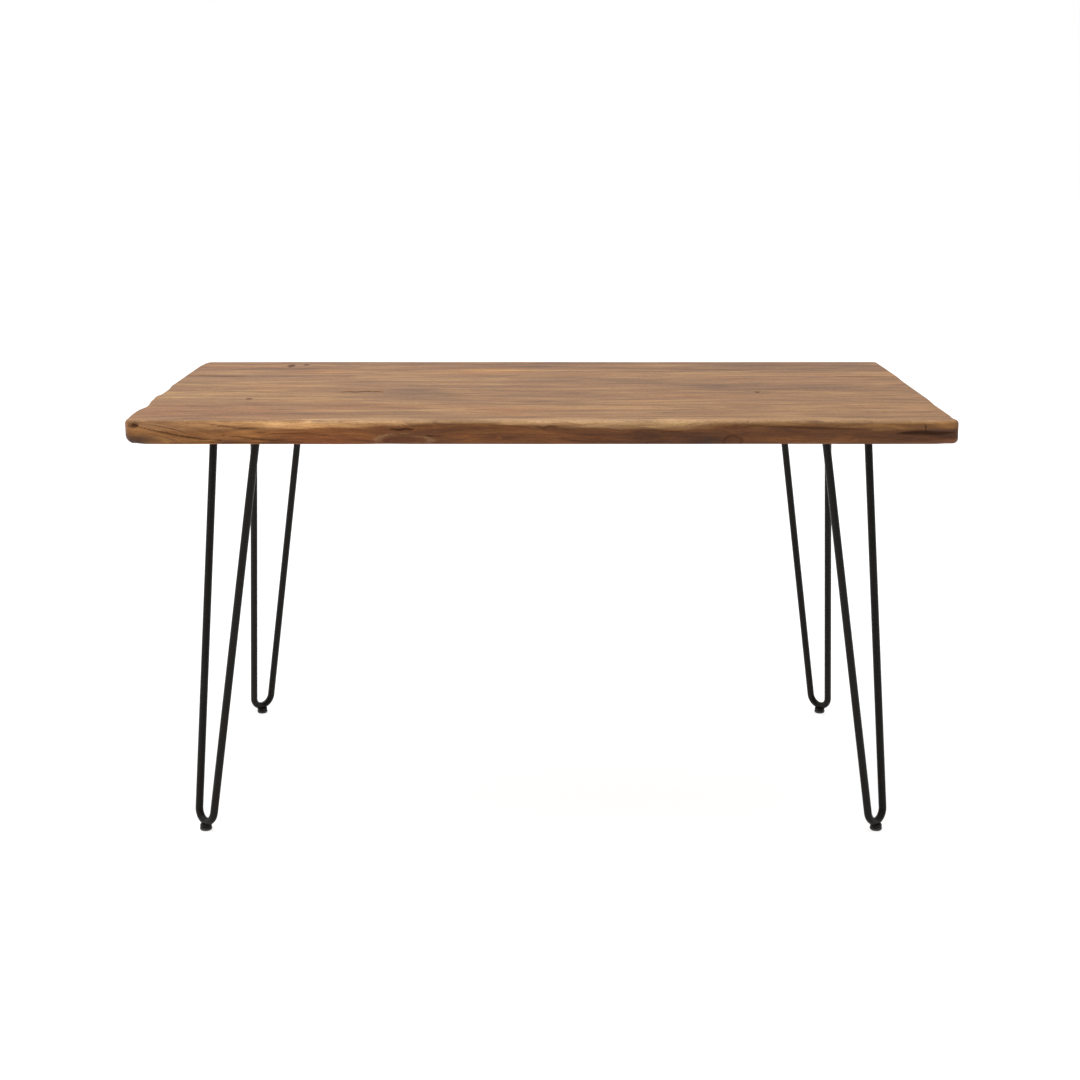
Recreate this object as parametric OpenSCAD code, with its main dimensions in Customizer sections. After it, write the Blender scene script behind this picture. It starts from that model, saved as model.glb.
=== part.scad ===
// Dining table: a solid top of five glued boards on four two-rod hairpin legs.
// Origin: centre of the table on the floor. +X runs along the length, -Y is the front, +Z is up.

/* [Tabletop] */
// Overall length of the top
top_length = 1419; // [1100:1:2000]
// Overall depth of the top
top_depth = 814; // [780:1:1000]
// Height of the upper face above the floor
top_height = 755; // [650:1:950]
// Thickness of the boards
top_thickness = 41; // [32:1:60]
// Width of the front board
front_board = 182; // [170:1:200]
// Width of the inner front board
inner_front_board = 194; // [150:1:210]
// Width of the middle board
middle_board = 181; // [140:1:200]
// Width of the inner rear board; the rear board takes what is left
inner_rear_board = 125; // [110:1:135]
// How far down the eased upper edge reaches
upper_ease_drop = 9; // [4:0.5:14]
// How far in the eased upper edge reaches
upper_ease_inset = 6; // [2:0.5:8]
// Radius of the eased lower edge
lower_ease = 7; // [1:0.5:8]
// Plan radius of the top's corners
corner_r = 11; // [9:1:30]

/* [Leg rods] */
// Diameter of the round bar
rod_d = 14; // [12:0.1:15]
// Distance between the two rods' centres at the top plate
rod_spread = 125; // [100:1:150]
// Radius of the bend at the foot, to the rod's centre line
bend_r = 22.7; // [18:0.1:30]
// How far the foot stands outside the line of the rods' upper ends
leg_lean = 94; // [60:1:110]
// Turn of each leg from the long side towards its corner
leg_turn = 45; // [30:1:60]
// From the end of the top to the foot's centre
foot_from_end = 105.5; // [90:0.5:200]
// From the long side of the top to the foot's centre
foot_from_side = 65; // [60:1:90]

/* [Top plates] */
// Thickness of the top plates
plate_thickness = 4; // [3:0.5:6]
// Radius of a plate's corners
plate_corner_r = 12; // [10:0.5:16]
// How far each rear corner's centre stands outside its rod
plate_overhang = 7; // [0:1:12]
// From the rods' line to the centre of the outer corner
plate_reach = 68; // [55:1:80]
// Distance between the two bolts on the rods' line
bolt_spread = 72; // [50:1:80]
// From the rods' line to the outer bolt
bolt_reach = 56; // [40:1:60]
// Width of the weld bead round each rod
weld_w = 3.5; // [2:0.5:5]

/* [Fasteners] */
// Nominal diameter of the plate bolts
bolt_d = 6; // [5:0.5:8]
// Length of the bolts under the head
bolt_length = 18; // [16:1:22]
// Diameter of the bolt heads
bolt_head_d = 10.5; // [9.5:0.5:14]
// Height of the bolt heads
bolt_head_h = 3.3; // [3:0.1:5]
// Radius of the flat end of the domed heads
bolt_head_flat = 3.1; // [2.6:0.1:4]
// Height of the straight rim of the heads
bolt_head_rim = 0.6; // [0.3:0.1:1]
// Size across the flats of the bolts' hexagon socket
bolt_socket = 4; // [3:0.5:4.5]
// Depth of the hexagon socket
bolt_socket_depth = 2; // [1.5:0.1:2.6]
// Outer diameter of the washers
washer_d = 12; // [11:0.5:18]
// Thickness of the washers
washer_t = 1.6; // [1:0.1:2]
// Outer diameter of the thread inserts
insert_d = 10; // [9.5:0.5:13]
// Length of the thread inserts
insert_length = 15; // [12:1:18]
// Depth left above each insert in its pocket
insert_relief = 4; // [2:1:8]

/* [Feet] */
// Diameter of the glide pads
pad_d = 22; // [19:0.1:30]
// Height of the glide pads
pad_h = 5.4; // [5.2:0.1:12]
// Radius of the pad's lower edge
pad_sole_r = 2; // [1:0.1:2.5]
// Radius of the pad's upper edge
pad_rim_r = 1; // [0.5:0.1:2]
// Outer diameter of the foot cups
cup_d = 21; // [18:0.5:24]
// How far the foot cup reaches below the rod
cup_drop = 3.65; // [3.6:0.05:8]
// How far the foot cup reaches up beside the rod
cup_wrap = 3; // [1:0.5:5]
// Nominal diameter of the glide studs
stud_d = 6; // [5:0.5:6.5]
// Size across the flats of the stud's hexagon
stud_hex = 10; // [9:0.5:11]
// Height of the stud's hexagon
stud_hex_h = 2.3; // [1.8:0.1:2.5]
// Room for a spanner between the hexagon's corners and the cup
hex_gap = 1.5; // [0.5:0.1:1.8]
// Diameter of the stud's flange inside the pad
stud_flange_d = 12; // [10:0.5:14]
// Thickness of the stud's flange
stud_flange_t = 1.8; // [1.2:0.1:2.2]
// How far the stud's thread reaches into the rod
stud_grip = 10.4; // [8:0.1:11]

/* [Clearances] */
// Gap between a glide pad and its foot cup at rest
pad_gap = 0.3; // [0.2:0.05:0.6]
// Radial gap of a thread or shank in its hole
running_gap = 0.05; // [0.02:0.01:0.1]
// Gap at welded and pressed seats on round faces
seat_gap = 0.05; // [0.02:0.01:0.1]
// Radial gap of the stud's flange in the pad
flange_gap = 0.3; // [0.2:0.05:0.5]
// Gap above and below the stud's flange, and over its hexagon
end_gap = 0.2; // [0.1:0.05:0.4]
// Radial gap of the bolts in the plates
bolt_hole_gap = 0.3; // [0.2:0.1:0.6]

/* [Hidden] */
$fn = 48;

front_left = [-1, -1];
front_right = [1, -1];
rear_left = [-1, 1];
rear_right = [1, 1];
corners = [front_left, front_right, rear_left, rear_right];

wood_shades = ["#a87f5c", "#a17754", "#ab8562", "#9c7351", "#a27c5d"];
steel_shade = "#22211f";
zinc_shade = "#b4b6b8";
brass_shade = "#b8964f";
pad_shade = "#1b1a19";

// Heights, worked up from the floor and down from the top.
cup_low_z = pad_h + pad_gap;
rod_low_z = cup_low_z + cup_drop;
rod_base_z = rod_low_z + rod_d / 2;
cup_high_z = rod_low_z + cup_wrap;
top_low_z = top_height - top_thickness;
rod_top_z = top_low_z - plate_thickness;

// The leg's own plane leans inwards from the foot and holds the bend and both rods.
foot_x = top_length / 2 - foot_from_end;
foot_y = top_depth / 2 - foot_from_side;
leg_rise = rod_top_z - rod_base_z;
leg_tilt = atan(leg_lean / leg_rise);
leg_slope = sqrt(leg_lean * leg_lean + leg_rise * leg_rise);
bend_to_end = sqrt(pow(rod_spread / 2, 2) + pow(leg_slope - bend_r, 2));
rod_length = sqrt(bend_to_end * bend_to_end - bend_r * bend_r);
rod_splay = atan(rod_spread / 2 / (leg_slope - bend_r)) - asin(bend_r / bend_to_end);

// The straight rods are a hair thinner than the bend and start just inside it, as one bar.
rod_draw = 0.05;
rod_lap = 0.7;

// Lines between the boards, from the front edge to the rear edge.
board_widths = [front_board, inner_front_board, middle_board, inner_rear_board];
function sum_to(list, n) = n <= 0 ? 0 : list[n - 1] + sum_to(list, n - 1);
function seam_y(i) = sum_to(board_widths, i) - top_depth / 2;

// Waves of the hand-shaped edges: [share along the edge, depth of the hollow in mm].
front_wave = [[0, 2], [0.06, 0], [0.28, 0], [0.317, 3], [0.35, 0.5], [0.6, 0], [0.78, 1.5],
    [0.9, 0.5], [1, 1]];
rear_wave = [[0, 2], [0.3, 0], [0.45, 0], [0.65, 1.5], [0.85, 0.5], [1, 1]];
left_wave = [[0, 7.5], [0.04, 5], [0.14, 4], [0.21, 10], [0.3, 3.5], [0.36, 0.5], [0.4, 5],
    [0.47, 5], [0.55, 0.5], [0.7, 0], [0.9, 0], [0.96, 2.5], [1, 7]];
right_wave = [[0, 4], [0.04, 7], [0.2, 7], [0.34, 3.5], [0.6, 2.5], [0.72, 0], [0.95, 0], [1, 0.5]];
long_steps = 48;
end_pitch = 22;
corner_steps = 5;
ease_steps = 4;
round_steps = 4;

function blend(t) = (1 - cos(180 * t)) / 2;
function wave_from(list, s, i) =
    i >= len(list) - 2 || s <= list[i + 1][0]
        ? list[i][1] + (list[i + 1][1] - list[i][1])
            * blend((s - list[i][0]) / (list[i + 1][0] - list[i][0]))
        : wave_from(list, s, i + 1);
function wave(list, s) = wave_from(list, min(max(s, 0), 1), 0);
function share(v, span) = v / span + 0.5;

// The top's plan outline as [point, inward direction], anticlockwise from above.
function front_point(x) = [[x, wave(front_wave, share(x, top_length)) - top_depth / 2], [0, 1]];
function rear_point(x) = [[x, top_depth / 2 - wave(rear_wave, share(x, top_length))], [0, -1]];
function left_point(y) = [[wave(left_wave, share(y, top_depth)) - top_length / 2, y], [1, 0]];
function right_point(y) = [[top_length / 2 - wave(right_wave, share(y, top_depth)), y], [-1, 0]];

function corner_x(c) =
    let (y = c[1] * top_depth / 2)
    (c[0] < 0 ? left_point(y) : right_point(y))[0][0];
function corner_y(c) =
    let (x = c[0] * top_length / 2)
    (c[1] < 0 ? front_point(x) : rear_point(x))[0][1];
function corner_centre(c) = [corner_x(c), corner_y(c)] - corner_r * c;
function corner_arc(c, from) = [
    for (k = [0 : corner_steps])
        let (a = from + 90 * k / corner_steps)
        [corner_centre(c) + corner_r * [cos(a), sin(a)], -[cos(a), sin(a)]]
];
function between(a, b, k, n) = a + (b - a) * k / n;
function end_steps(a, b) = max(2, ceil(abs(b - a) / end_pitch));
function run_ys(a, b) =
    let (n = end_steps(a, b))
    [for (k = [0 : n]) between(a, b, k, n)];
function right_run(a, b) = [for (y = run_ys(a, b)) right_point(y)];
function left_run(a, b) = [for (y = run_ys(a, b)) left_point(y)];
function without_last(list) = [for (k = [0 : len(list) - 2]) list[k]];
function without_first(list) = [for (k = [1 : len(list) - 1]) list[k]];

front_edge = [
    for (k = [1 : long_steps - 1])
        front_point(between(corner_centre(front_left)[0], corner_centre(front_right)[0], k, long_steps))
];
rear_edge = [
    for (k = [1 : long_steps - 1])
        rear_point(between(corner_centre(rear_right)[0], corner_centre(rear_left)[0], k, long_steps))
];

// One board's outline: its seams are straight, and the rest follows the top's outline.
function front_outline(high) = concat(
    without_last(left_run(high, corner_centre(front_left)[1])),
    corner_arc(front_left, 180), front_edge, corner_arc(front_right, 270),
    without_first(right_run(corner_centre(front_right)[1], high))
);
function rear_outline(low) = concat(
    without_last(right_run(low, corner_centre(rear_right)[1])),
    corner_arc(rear_right, 0), rear_edge, corner_arc(rear_left, 90),
    without_first(left_run(corner_centre(rear_left)[1], low))
);
function board_outline(i) =
    i == 0 ? front_outline(seam_y(1))
    : i == len(board_widths) ? rear_outline(seam_y(i))
    : concat(right_run(seam_y(i), seam_y(i + 1)), left_run(seam_y(i + 1), seam_y(i)));

// Rings up a board's side that round its edges: [how far in, height].
edge_rings = concat(
    [for (k = [0 : ease_steps])
        let (a = 90 * k / ease_steps)
        [lower_ease * (1 - sin(a)), top_low_z + lower_ease * (1 - cos(a))]],
    [for (k = [0 : ease_steps])
        let (a = 90 * k / ease_steps)
        [upper_ease_inset * (1 - cos(a)), top_height - upper_ease_drop * (1 - sin(a))]]
);

// A leg's own frame: foot centre at the origin, +X out towards the corner, +Y along the rods' line.
bolt_places = [[-leg_lean, bolt_spread / 2], [-leg_lean, -bolt_spread / 2], [bolt_reach - leg_lean, 0]];
plate_corners = [
    [-leg_lean, rod_spread / 2 + plate_overhang],
    [-leg_lean, -rod_spread / 2 - plate_overhang],
    [plate_reach - leg_lean, 0]
];
washer_low_z = rod_top_z - washer_t;
insert_pocket_z = top_low_z + insert_length + insert_relief;
stud_flange_z = (pad_h - stud_flange_t) / 2 - end_gap;
stud_top_z = rod_low_z + stud_grip;
hex_low_z = cup_low_z - pad_gap / 2;
hex_pocket_d = stud_hex / cos(30) + 2 * hex_gap;

module at_corner(c)
    translate([c[0] * foot_x, c[1] * foot_y, 0])
        rotate([0, 0, atan2(c[1] * sin(leg_turn), c[0] * cos(leg_turn))])
            children();

module at_bolts(z)
    for (p = bolt_places)
        translate([p[0], p[1], z])
            children();

module leg_plane()
    translate([0, 0, rod_base_z])
        rotate([0, -leg_tilt, 0])
            children();

// Puts a child, drawn up +Z, on the straight rod of the given side, from the end of the bend.
module on_rod(side)
    translate([0, side * bend_r * cos(rod_splay), bend_r * (1 - sin(rod_splay))])
        rotate([-side * rod_splay, 0, 0])
            children();

module bent_bar(d) {
    leg_plane() {
        translate([0, 0, bend_r])
            rotate([90, 0, 90])
                rotate([0, 0, 180 + rod_splay])
                    rotate_extrude(angle = 180 - 2 * rod_splay, $fn = 96)
                        translate([bend_r, 0])
                            circle(d = d);
        for (side = [-1, 1])
            on_rod(side)
                translate([0, 0, -rod_lap])
                    cylinder(h = rod_length + rod_lap + rod_d, d = d - rod_draw);
    }
}

module above(z) {
    span = 4 * rod_spread;
    translate([-span, -span, z])
        cube([2 * span, 2 * span, span]);
}

module hexagon(size, h)
    cylinder(h = h, d = size / cos(30), $fn = 6);

// A solid from rings of points, one above the other. Its flat ends fan out from their middles.
function middle(points) =
    let (xs = [for (p = points) p[0]], ys = [for (p = points) p[1]])
    [min(xs) + max(xs), min(ys) + max(ys)] / 2;
module ringed(outline, rings) {
    n = len(outline);
    last = len(rings) - 1;
    sides = [for (ring = rings, p = outline) concat(p[0] + ring[0] * p[1], [ring[1]])];
    centre = middle([for (p = outline) p[0]]);
    low_centre = len(sides);
    high_centre = low_centre + 1;
    polyhedron(
        points = concat(sides, [concat(centre, [rings[0][1]]), concat(centre, [rings[last][1]])]),
        faces = [
            for (i = [0 : n - 1])
                let (next = (i + 1) % n)
                each concat(
                    [[low_centre, i, next], [high_centre, last * n + next, last * n + i]],
                    [for (r = [0 : last - 1]) [r * n + i, r * n + n + i, r * n + n + next]],
                    [for (r = [0 : last - 1]) [r * n + i, r * n + n + next, r * n + next]]
                )
        ],
        convexity = 4
    );
}

module insert_pockets()
    for (c = corners)
        at_corner(c)
            at_bolts(top_low_z)
                translate([0, 0, -insert_relief])
                    cylinder(h = insert_pocket_z - top_low_z + insert_relief, d = insert_d + 2 * seat_gap);

module board(i)
    color(wood_shades[i])
        difference() {
            ringed(board_outline(i), edge_rings);
            insert_pockets();
        }

module leg_rod(c)
    color(steel_shade)
        at_corner(c)
            difference() {
                bent_bar(rod_d);
                above(rod_top_z);
                translate([0, 0, cup_low_z])
                    cylinder(h = stud_top_z + end_gap - cup_low_z, d = stud_d);
            }

// Straight-sided plate with round corners: the outline runs along the corners' outer tangents.
function tangent(a, b) =
    let (run = (b - a) / norm(b - a))
    plate_corner_r * [-run[1], run[0]];
module plate_shape() {
    n = len(plate_corners);
    polygon([
        for (i = [0 : n - 1], end = [0, 1])
            let (
                a = plate_corners[i],
                b = plate_corners[(i + 1) % n]
            )
            (end == 0 ? a : b) - tangent(a, b)
    ]);
    for (p = plate_corners)
        translate(p)
            circle(r = plate_corner_r);
}

module top_plate(c)
    color(steel_shade)
        at_corner(c)
            difference() {
                translate([0, 0, rod_top_z])
                    linear_extrude(height = plate_thickness)
                        plate_shape();
                at_bolts(rod_top_z - plate_thickness)
                    cylinder(h = 3 * plate_thickness, d = bolt_d + 2 * bolt_hole_gap);
            }

module weld_beads(c)
    color(steel_shade)
        at_corner(c)
            difference() {
                leg_plane()
                    for (side = [-1, 1])
                        on_rod(side)
                            translate([0, 0, rod_length - weld_w])
                                cylinder(h = 2 * weld_w, d1 = rod_d, d2 = rod_d + 4 * weld_w);
                bent_bar(rod_d + 2 * seat_gap);
                above(rod_top_z);
            }

module foot_cup(c)
    color(steel_shade)
        at_corner(c)
            difference() {
                translate([0, 0, cup_low_z])
                    cylinder(h = cup_high_z - cup_low_z, d = cup_d);
                translate([0, 0, cup_low_z - end_gap])
                    cylinder(h = stud_hex_h + 2 * end_gap, d = hex_pocket_d);
                translate([0, 0, cup_low_z])
                    cylinder(h = cup_high_z - cup_low_z, d = stud_d + 2 * bolt_hole_gap);
                bent_bar(rod_d + 2 * seat_gap);
            }

module glide_stud(c)
    color(zinc_shade)
        at_corner(c) {
            translate([0, 0, stud_flange_z])
                cylinder(h = stud_flange_t, d = stud_flange_d);
            translate([0, 0, stud_flange_z])
                cylinder(h = stud_top_z - stud_flange_z, d = stud_d - 2 * running_gap);
            translate([0, 0, hex_low_z])
                hexagon(stud_hex, stud_hex_h);
        }

module glide_pad(c)
    color(pad_shade)
        at_corner(c)
            difference() {
                rotate_extrude()
                    pad_section();
                translate([0, 0, stud_flange_z - end_gap])
                    cylinder(h = stud_flange_t + 2 * end_gap, d = stud_flange_d + 2 * flange_gap);
                translate([0, 0, stud_flange_z])
                    cylinder(h = pad_h, d = stud_d);
            }

// Half section of the pad: flat sole, rounded sides.
module pad_section()
    polygon(concat(
        [[0, 0]],
        [for (k = [0 : round_steps])
            let (a = 90 * k / round_steps)
            [pad_d / 2 - pad_sole_r * (1 - sin(a)), pad_sole_r * (1 - cos(a))]],
        [for (k = [0 : round_steps])
            let (a = 90 * k / round_steps)
            [pad_d / 2 - pad_rim_r * (1 - cos(a)), pad_h - pad_rim_r * (1 - sin(a))]],
        [[0, pad_h]]
    ));

module plate_bolts(c)
    color(zinc_shade)
        at_corner(c)
            at_bolts(washer_low_z)
                difference() {
                    union() {
                        cylinder(h = bolt_length, d = bolt_d - 2 * running_gap);
                        translate([0, 0, -bolt_head_h])
                            rotate_extrude()
                                bolt_head_section();
                    }
                    translate([0, 0, -bolt_head_h - end_gap])
                        hexagon(bolt_socket, bolt_socket_depth + end_gap);
                }

// Half section of a button head, flat under the washer and domed below.
module bolt_head_section()
    polygon(concat(
        [[0, bolt_head_h], [0, 0]],
        [for (k = [0 : round_steps])
            let (a = 90 * k / round_steps)
            [bolt_head_flat + (bolt_head_d / 2 - bolt_head_flat) * sin(a),
                (bolt_head_h - bolt_head_rim) * (1 - cos(a))]],
        [[bolt_head_d / 2, bolt_head_h]]
    ));

module washers(c)
    color(zinc_shade)
        at_corner(c)
            at_bolts(washer_low_z)
                difference() {
                    cylinder(h = washer_t, d = washer_d);
                    translate([0, 0, -washer_t])
                        cylinder(h = 3 * washer_t, d = bolt_d + 2 * bolt_hole_gap);
                }

module thread_inserts(c)
    color(brass_shade)
        at_corner(c)
            at_bolts(top_low_z)
                difference() {
                    cylinder(h = insert_length, d = insert_d);
                    translate([0, 0, -insert_length])
                        cylinder(h = 3 * insert_length, d = bolt_d);
                }

board(0);  // front_board
board(1);  // inner_front_board
board(2);  // middle_board
board(3);  // inner_rear_board
board(4);  // rear_board
leg_rod(front_left);  // front_left_leg_rod
top_plate(front_left);  // front_left_top_plate
weld_beads(front_left);  // front_left_weld_beads
foot_cup(front_left);  // front_left_foot_cup
glide_stud(front_left);  // front_left_glide_stud
glide_pad(front_left);  // front_left_glide_pad
plate_bolts(front_left);  // front_left_plate_bolts
washers(front_left);  // front_left_washers
thread_inserts(front_left);  // front_left_thread_inserts
leg_rod(front_right);  // front_right_leg_rod
top_plate(front_right);  // front_right_top_plate
weld_beads(front_right);  // front_right_weld_beads
foot_cup(front_right);  // front_right_foot_cup
glide_stud(front_right);  // front_right_glide_stud
glide_pad(front_right);  // front_right_glide_pad
plate_bolts(front_right);  // front_right_plate_bolts
washers(front_right);  // front_right_washers
thread_inserts(front_right);  // front_right_thread_inserts
leg_rod(rear_left);  // rear_left_leg_rod
top_plate(rear_left);  // rear_left_top_plate
weld_beads(rear_left);  // rear_left_weld_beads
foot_cup(rear_left);  // rear_left_foot_cup
glide_stud(rear_left);  // rear_left_glide_stud
glide_pad(rear_left);  // rear_left_glide_pad
plate_bolts(rear_left);  // rear_left_plate_bolts
washers(rear_left);  // rear_left_washers
thread_inserts(rear_left);  // rear_left_thread_inserts
leg_rod(rear_right);  // rear_right_leg_rod
top_plate(rear_right);  // rear_right_top_plate
weld_beads(rear_right);  // rear_right_weld_beads
foot_cup(rear_right);  // rear_right_foot_cup
glide_stud(rear_right);  // rear_right_glide_stud
glide_pad(rear_right);  // rear_right_glide_pad
plate_bolts(rear_right);  // rear_right_plate_bolts
washers(rear_right);  // rear_right_washers
thread_inserts(rear_right);  // rear_right_thread_inserts
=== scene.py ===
"""Dining table with an oiled hardwood top and hairpin legs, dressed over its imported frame."""
import math

import bmesh
import bpy
import numpy as np
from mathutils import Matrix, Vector


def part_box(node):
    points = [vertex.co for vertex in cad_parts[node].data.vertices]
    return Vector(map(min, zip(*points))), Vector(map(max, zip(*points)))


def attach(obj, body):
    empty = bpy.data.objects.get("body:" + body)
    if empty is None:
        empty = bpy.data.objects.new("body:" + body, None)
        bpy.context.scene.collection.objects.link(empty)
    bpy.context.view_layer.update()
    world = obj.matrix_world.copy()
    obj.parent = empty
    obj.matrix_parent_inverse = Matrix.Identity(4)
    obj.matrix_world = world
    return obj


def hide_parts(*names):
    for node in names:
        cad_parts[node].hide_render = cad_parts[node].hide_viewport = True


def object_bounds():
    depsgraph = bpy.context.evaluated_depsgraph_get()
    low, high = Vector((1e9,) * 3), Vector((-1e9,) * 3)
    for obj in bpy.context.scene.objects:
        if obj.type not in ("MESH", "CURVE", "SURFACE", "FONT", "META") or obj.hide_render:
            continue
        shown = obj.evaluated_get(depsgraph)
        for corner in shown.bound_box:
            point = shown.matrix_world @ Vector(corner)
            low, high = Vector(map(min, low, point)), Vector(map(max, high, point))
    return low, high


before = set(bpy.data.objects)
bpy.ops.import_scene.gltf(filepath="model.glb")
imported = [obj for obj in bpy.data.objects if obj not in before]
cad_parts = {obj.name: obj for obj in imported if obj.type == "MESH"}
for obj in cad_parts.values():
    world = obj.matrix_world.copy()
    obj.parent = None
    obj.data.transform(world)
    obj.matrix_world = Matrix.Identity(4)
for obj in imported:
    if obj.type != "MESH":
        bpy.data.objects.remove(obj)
cad_box = [list(corner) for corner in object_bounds()]

MM = 0.001
CORNERS = {"front_left": (-1, -1), "front_right": (1, -1), "rear_left": (-1, 1), "rear_right": (1, 1)}
BOARDS = ("front_board", "inner_front_board", "middle_board", "inner_rear_board", "rear_board")

# The top's sizes in millimetres, read from the frame.
board_boxes = [[np.array(corner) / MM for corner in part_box(name)] for name in BOARDS]
TOP_LOW, TOP_HIGH = float(board_boxes[0][0][2]), float(board_boxes[0][1][2])
LENGTH = float(cad_box[1][0] - cad_box[0][0]) / MM
DEPTH = float(cad_box[1][1] - cad_box[0][1]) / MM
SEAMS = [-DEPTH / 2] + [float(high[1]) for low, high in board_boxes[:-1]] + [DEPTH / 2]


# Helpers for objects and meshes
def new_object(name, data):
    """An object of its data, linked to the scene."""
    made = bpy.data.objects.new(name, data)
    bpy.context.scene.collection.objects.link(made)
    return made


def new_mesh(name, points, edges, faces):
    """A mesh from points in millimetres."""
    mesh = bpy.data.meshes.new(name)
    mesh.from_pydata([tuple(p) for p in np.asarray(points, float) * MM], edges, faces)
    return mesh


def placed(name, mesh, body, solid):
    """An object of a finished mesh, riding on its body in place of the solid that it stands for."""
    made = new_object(name, mesh)
    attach(made, body)
    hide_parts(solid)


# Camera, light and floor
def photo_camera():
    """A 61 mm lens 3.5 m in front of the table and 1.2 m up, tipped down, as the photograph was taken."""
    camera = new_object("camera", bpy.data.cameras.new("camera"))
    camera.data.lens = 61.04
    camera.data.sensor_width = 36.0
    camera.data.shift_x = -0.0009
    camera.data.shift_y = 0.0004
    camera.location = (0.0, -3.454, 1.227)
    camera.rotation_euler = (math.pi / 2 - 0.219, 0.0, 0.0)
    bpy.context.scene.camera = camera


def light(name, kind, energy, way, place=(0.0, 0.0, 0.0), **settings):
    """A light that shines from its place along a way, given as a vector."""
    lamp = bpy.data.lights.new(name, kind)
    lamp.energy = energy
    for key, value in settings.items():
        setattr(lamp, key, value)
    made = new_object(name, lamp)
    made.location = place
    made.rotation_euler = Vector(way).to_track_quat("-Z", "Y").to_euler()


def studio():
    """White paper all round, brightest overhead and behind, with a skylight and a soft box at the left."""
    world = bpy.data.worlds.new("white_studio")
    world.use_nodes = True
    tree = world.node_tree
    brightest = (-0.3, 0.3, 0.9)
    way = add(tree, "TexCoord", out="Generated")
    lit = add(tree, "VectorMath", {0: way, 1: brightest}, out="Value", operation="DOT_PRODUCT")
    lit = add(tree, "MapRange", {0: lit, 1: -0.6, 2: 0.9, 3: 0.2, 4: 1.1})
    seen = add(tree, "LightPath", out="Is Camera Ray")
    strength = add(tree, "Mix", {0: seen, 2: lit, 3: 1.0})
    tree.links.new(strength, tree.nodes["Background"].inputs["Strength"])
    tree.nodes["Background"].inputs["Color"].default_value = (1.0, 1.0, 1.0, 1.0)
    bpy.context.scene.world = world
    bpy.context.scene.view_settings.view_transform = "Standard"
    light("skylight", "SUN", 2.0, (0.25, -0.3, -1.0), angle=math.radians(70))
    light("soft_box_left", "AREA", 10.0, (1.8, 1.9, -0.9), (-2.3, -2.3, 1.5), size=1.4)


def studio_floor():
    """Opal acrylic, lit a little from below: bright, all but even and without a shadow."""
    opal = finish_with_noise("opal_acrylic_floor", 400.0, ("#f4f4f4", "#fafafa"), (0.8, 0.9),
                             ((3.0, 0.02, 1),), IOR=1.49, Specular_IOR_Level=0.1,
                             Emission_Color=(1.0, 1.0, 1.0, 1.0))
    # The camera gets it evener and less dazzling than the table does, so that thin bars keep their width.
    glow_on_table, glow_on_camera, paper = 0.36, 0.78, linear("#959595")
    tree = opal.node_tree
    shader = tree.nodes["Principled BSDF"].inputs
    seen = add(tree, "LightPath", out="Is Camera Ray")
    glow = add(tree, "Mix", {0: seen, 2: glow_on_table, 3: glow_on_camera})
    colour = shader["Base Color"].links[0].from_socket
    colour = add(tree, "Mix", {0: seen, 6: colour, 7: paper}, out=2, data_type="RGBA")
    tree.links.new(colour, shader["Base Color"])
    tree.links.new(glow, shader["Emission Strength"])
    far = 30 / MM
    sheet = new_mesh("studio_floor", [(-far, -far, 0), (far, -far, 0), (far, far, 0), (-far, far, 0)],
                     [], [(0, 1, 2, 3)])
    sheet.materials.append(opal)
    new_object("studio_floor", sheet)


# Helpers for materials
def linear(hex_colour):
    """An sRGB hex colour as the linear numbers that a shader takes."""
    parts = [int(hex_colour[i:i + 2], 16) / 255 for i in (1, 3, 5)]
    return tuple(c / 12.92 if c <= 0.04045 else ((c + 0.055) / 1.055) ** 2.4 for c in parts) + (1.0,)


def add(tree, kind, inputs=None, out=0, stops=None, **settings):
    """Adds a node with its settings, its inputs set or linked, and a ramp's stops, and returns an output.

    An input is named, or numbered where the node has several of one name. In Mix, 0 is the share, 2 and 3
    are the two numbers, and 6 and 7 the two colours. In MapRange, 1 to 4 are the ends of both ranges.
    """
    node = tree.nodes.new(kind if "Node" in kind else "ShaderNode" + kind)
    for name, value in settings.items():
        setattr(node, name, value)
    for key, value in (inputs or {}).items():
        if isinstance(value, bpy.types.NodeSocket):
            tree.links.new(value, node.inputs[key])
        else:
            node.inputs[key].default_value = value
    for place, colour in (stops or [])[2:]:
        node.color_ramp.elements.new(place)
    for k, (place, colour) in enumerate(stops or []):
        stop = node.color_ramp.elements[k]
        stop.position = place
        stop.color = linear(colour) if isinstance(colour, str) else (colour,) * 3 + (1.0,)
    return node.outputs[out]


def new_material(name, **even):
    """A material, its tree and its shader's inputs. The named ones are even all over the surface."""
    material = bpy.data.materials.new(name)
    material.use_nodes = True
    inputs = material.node_tree.nodes["Principled BSDF"].inputs
    for key, value in even.items():
        inputs[key.replace("_", " ")].default_value = value
    return material, material.node_tree, inputs


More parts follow.
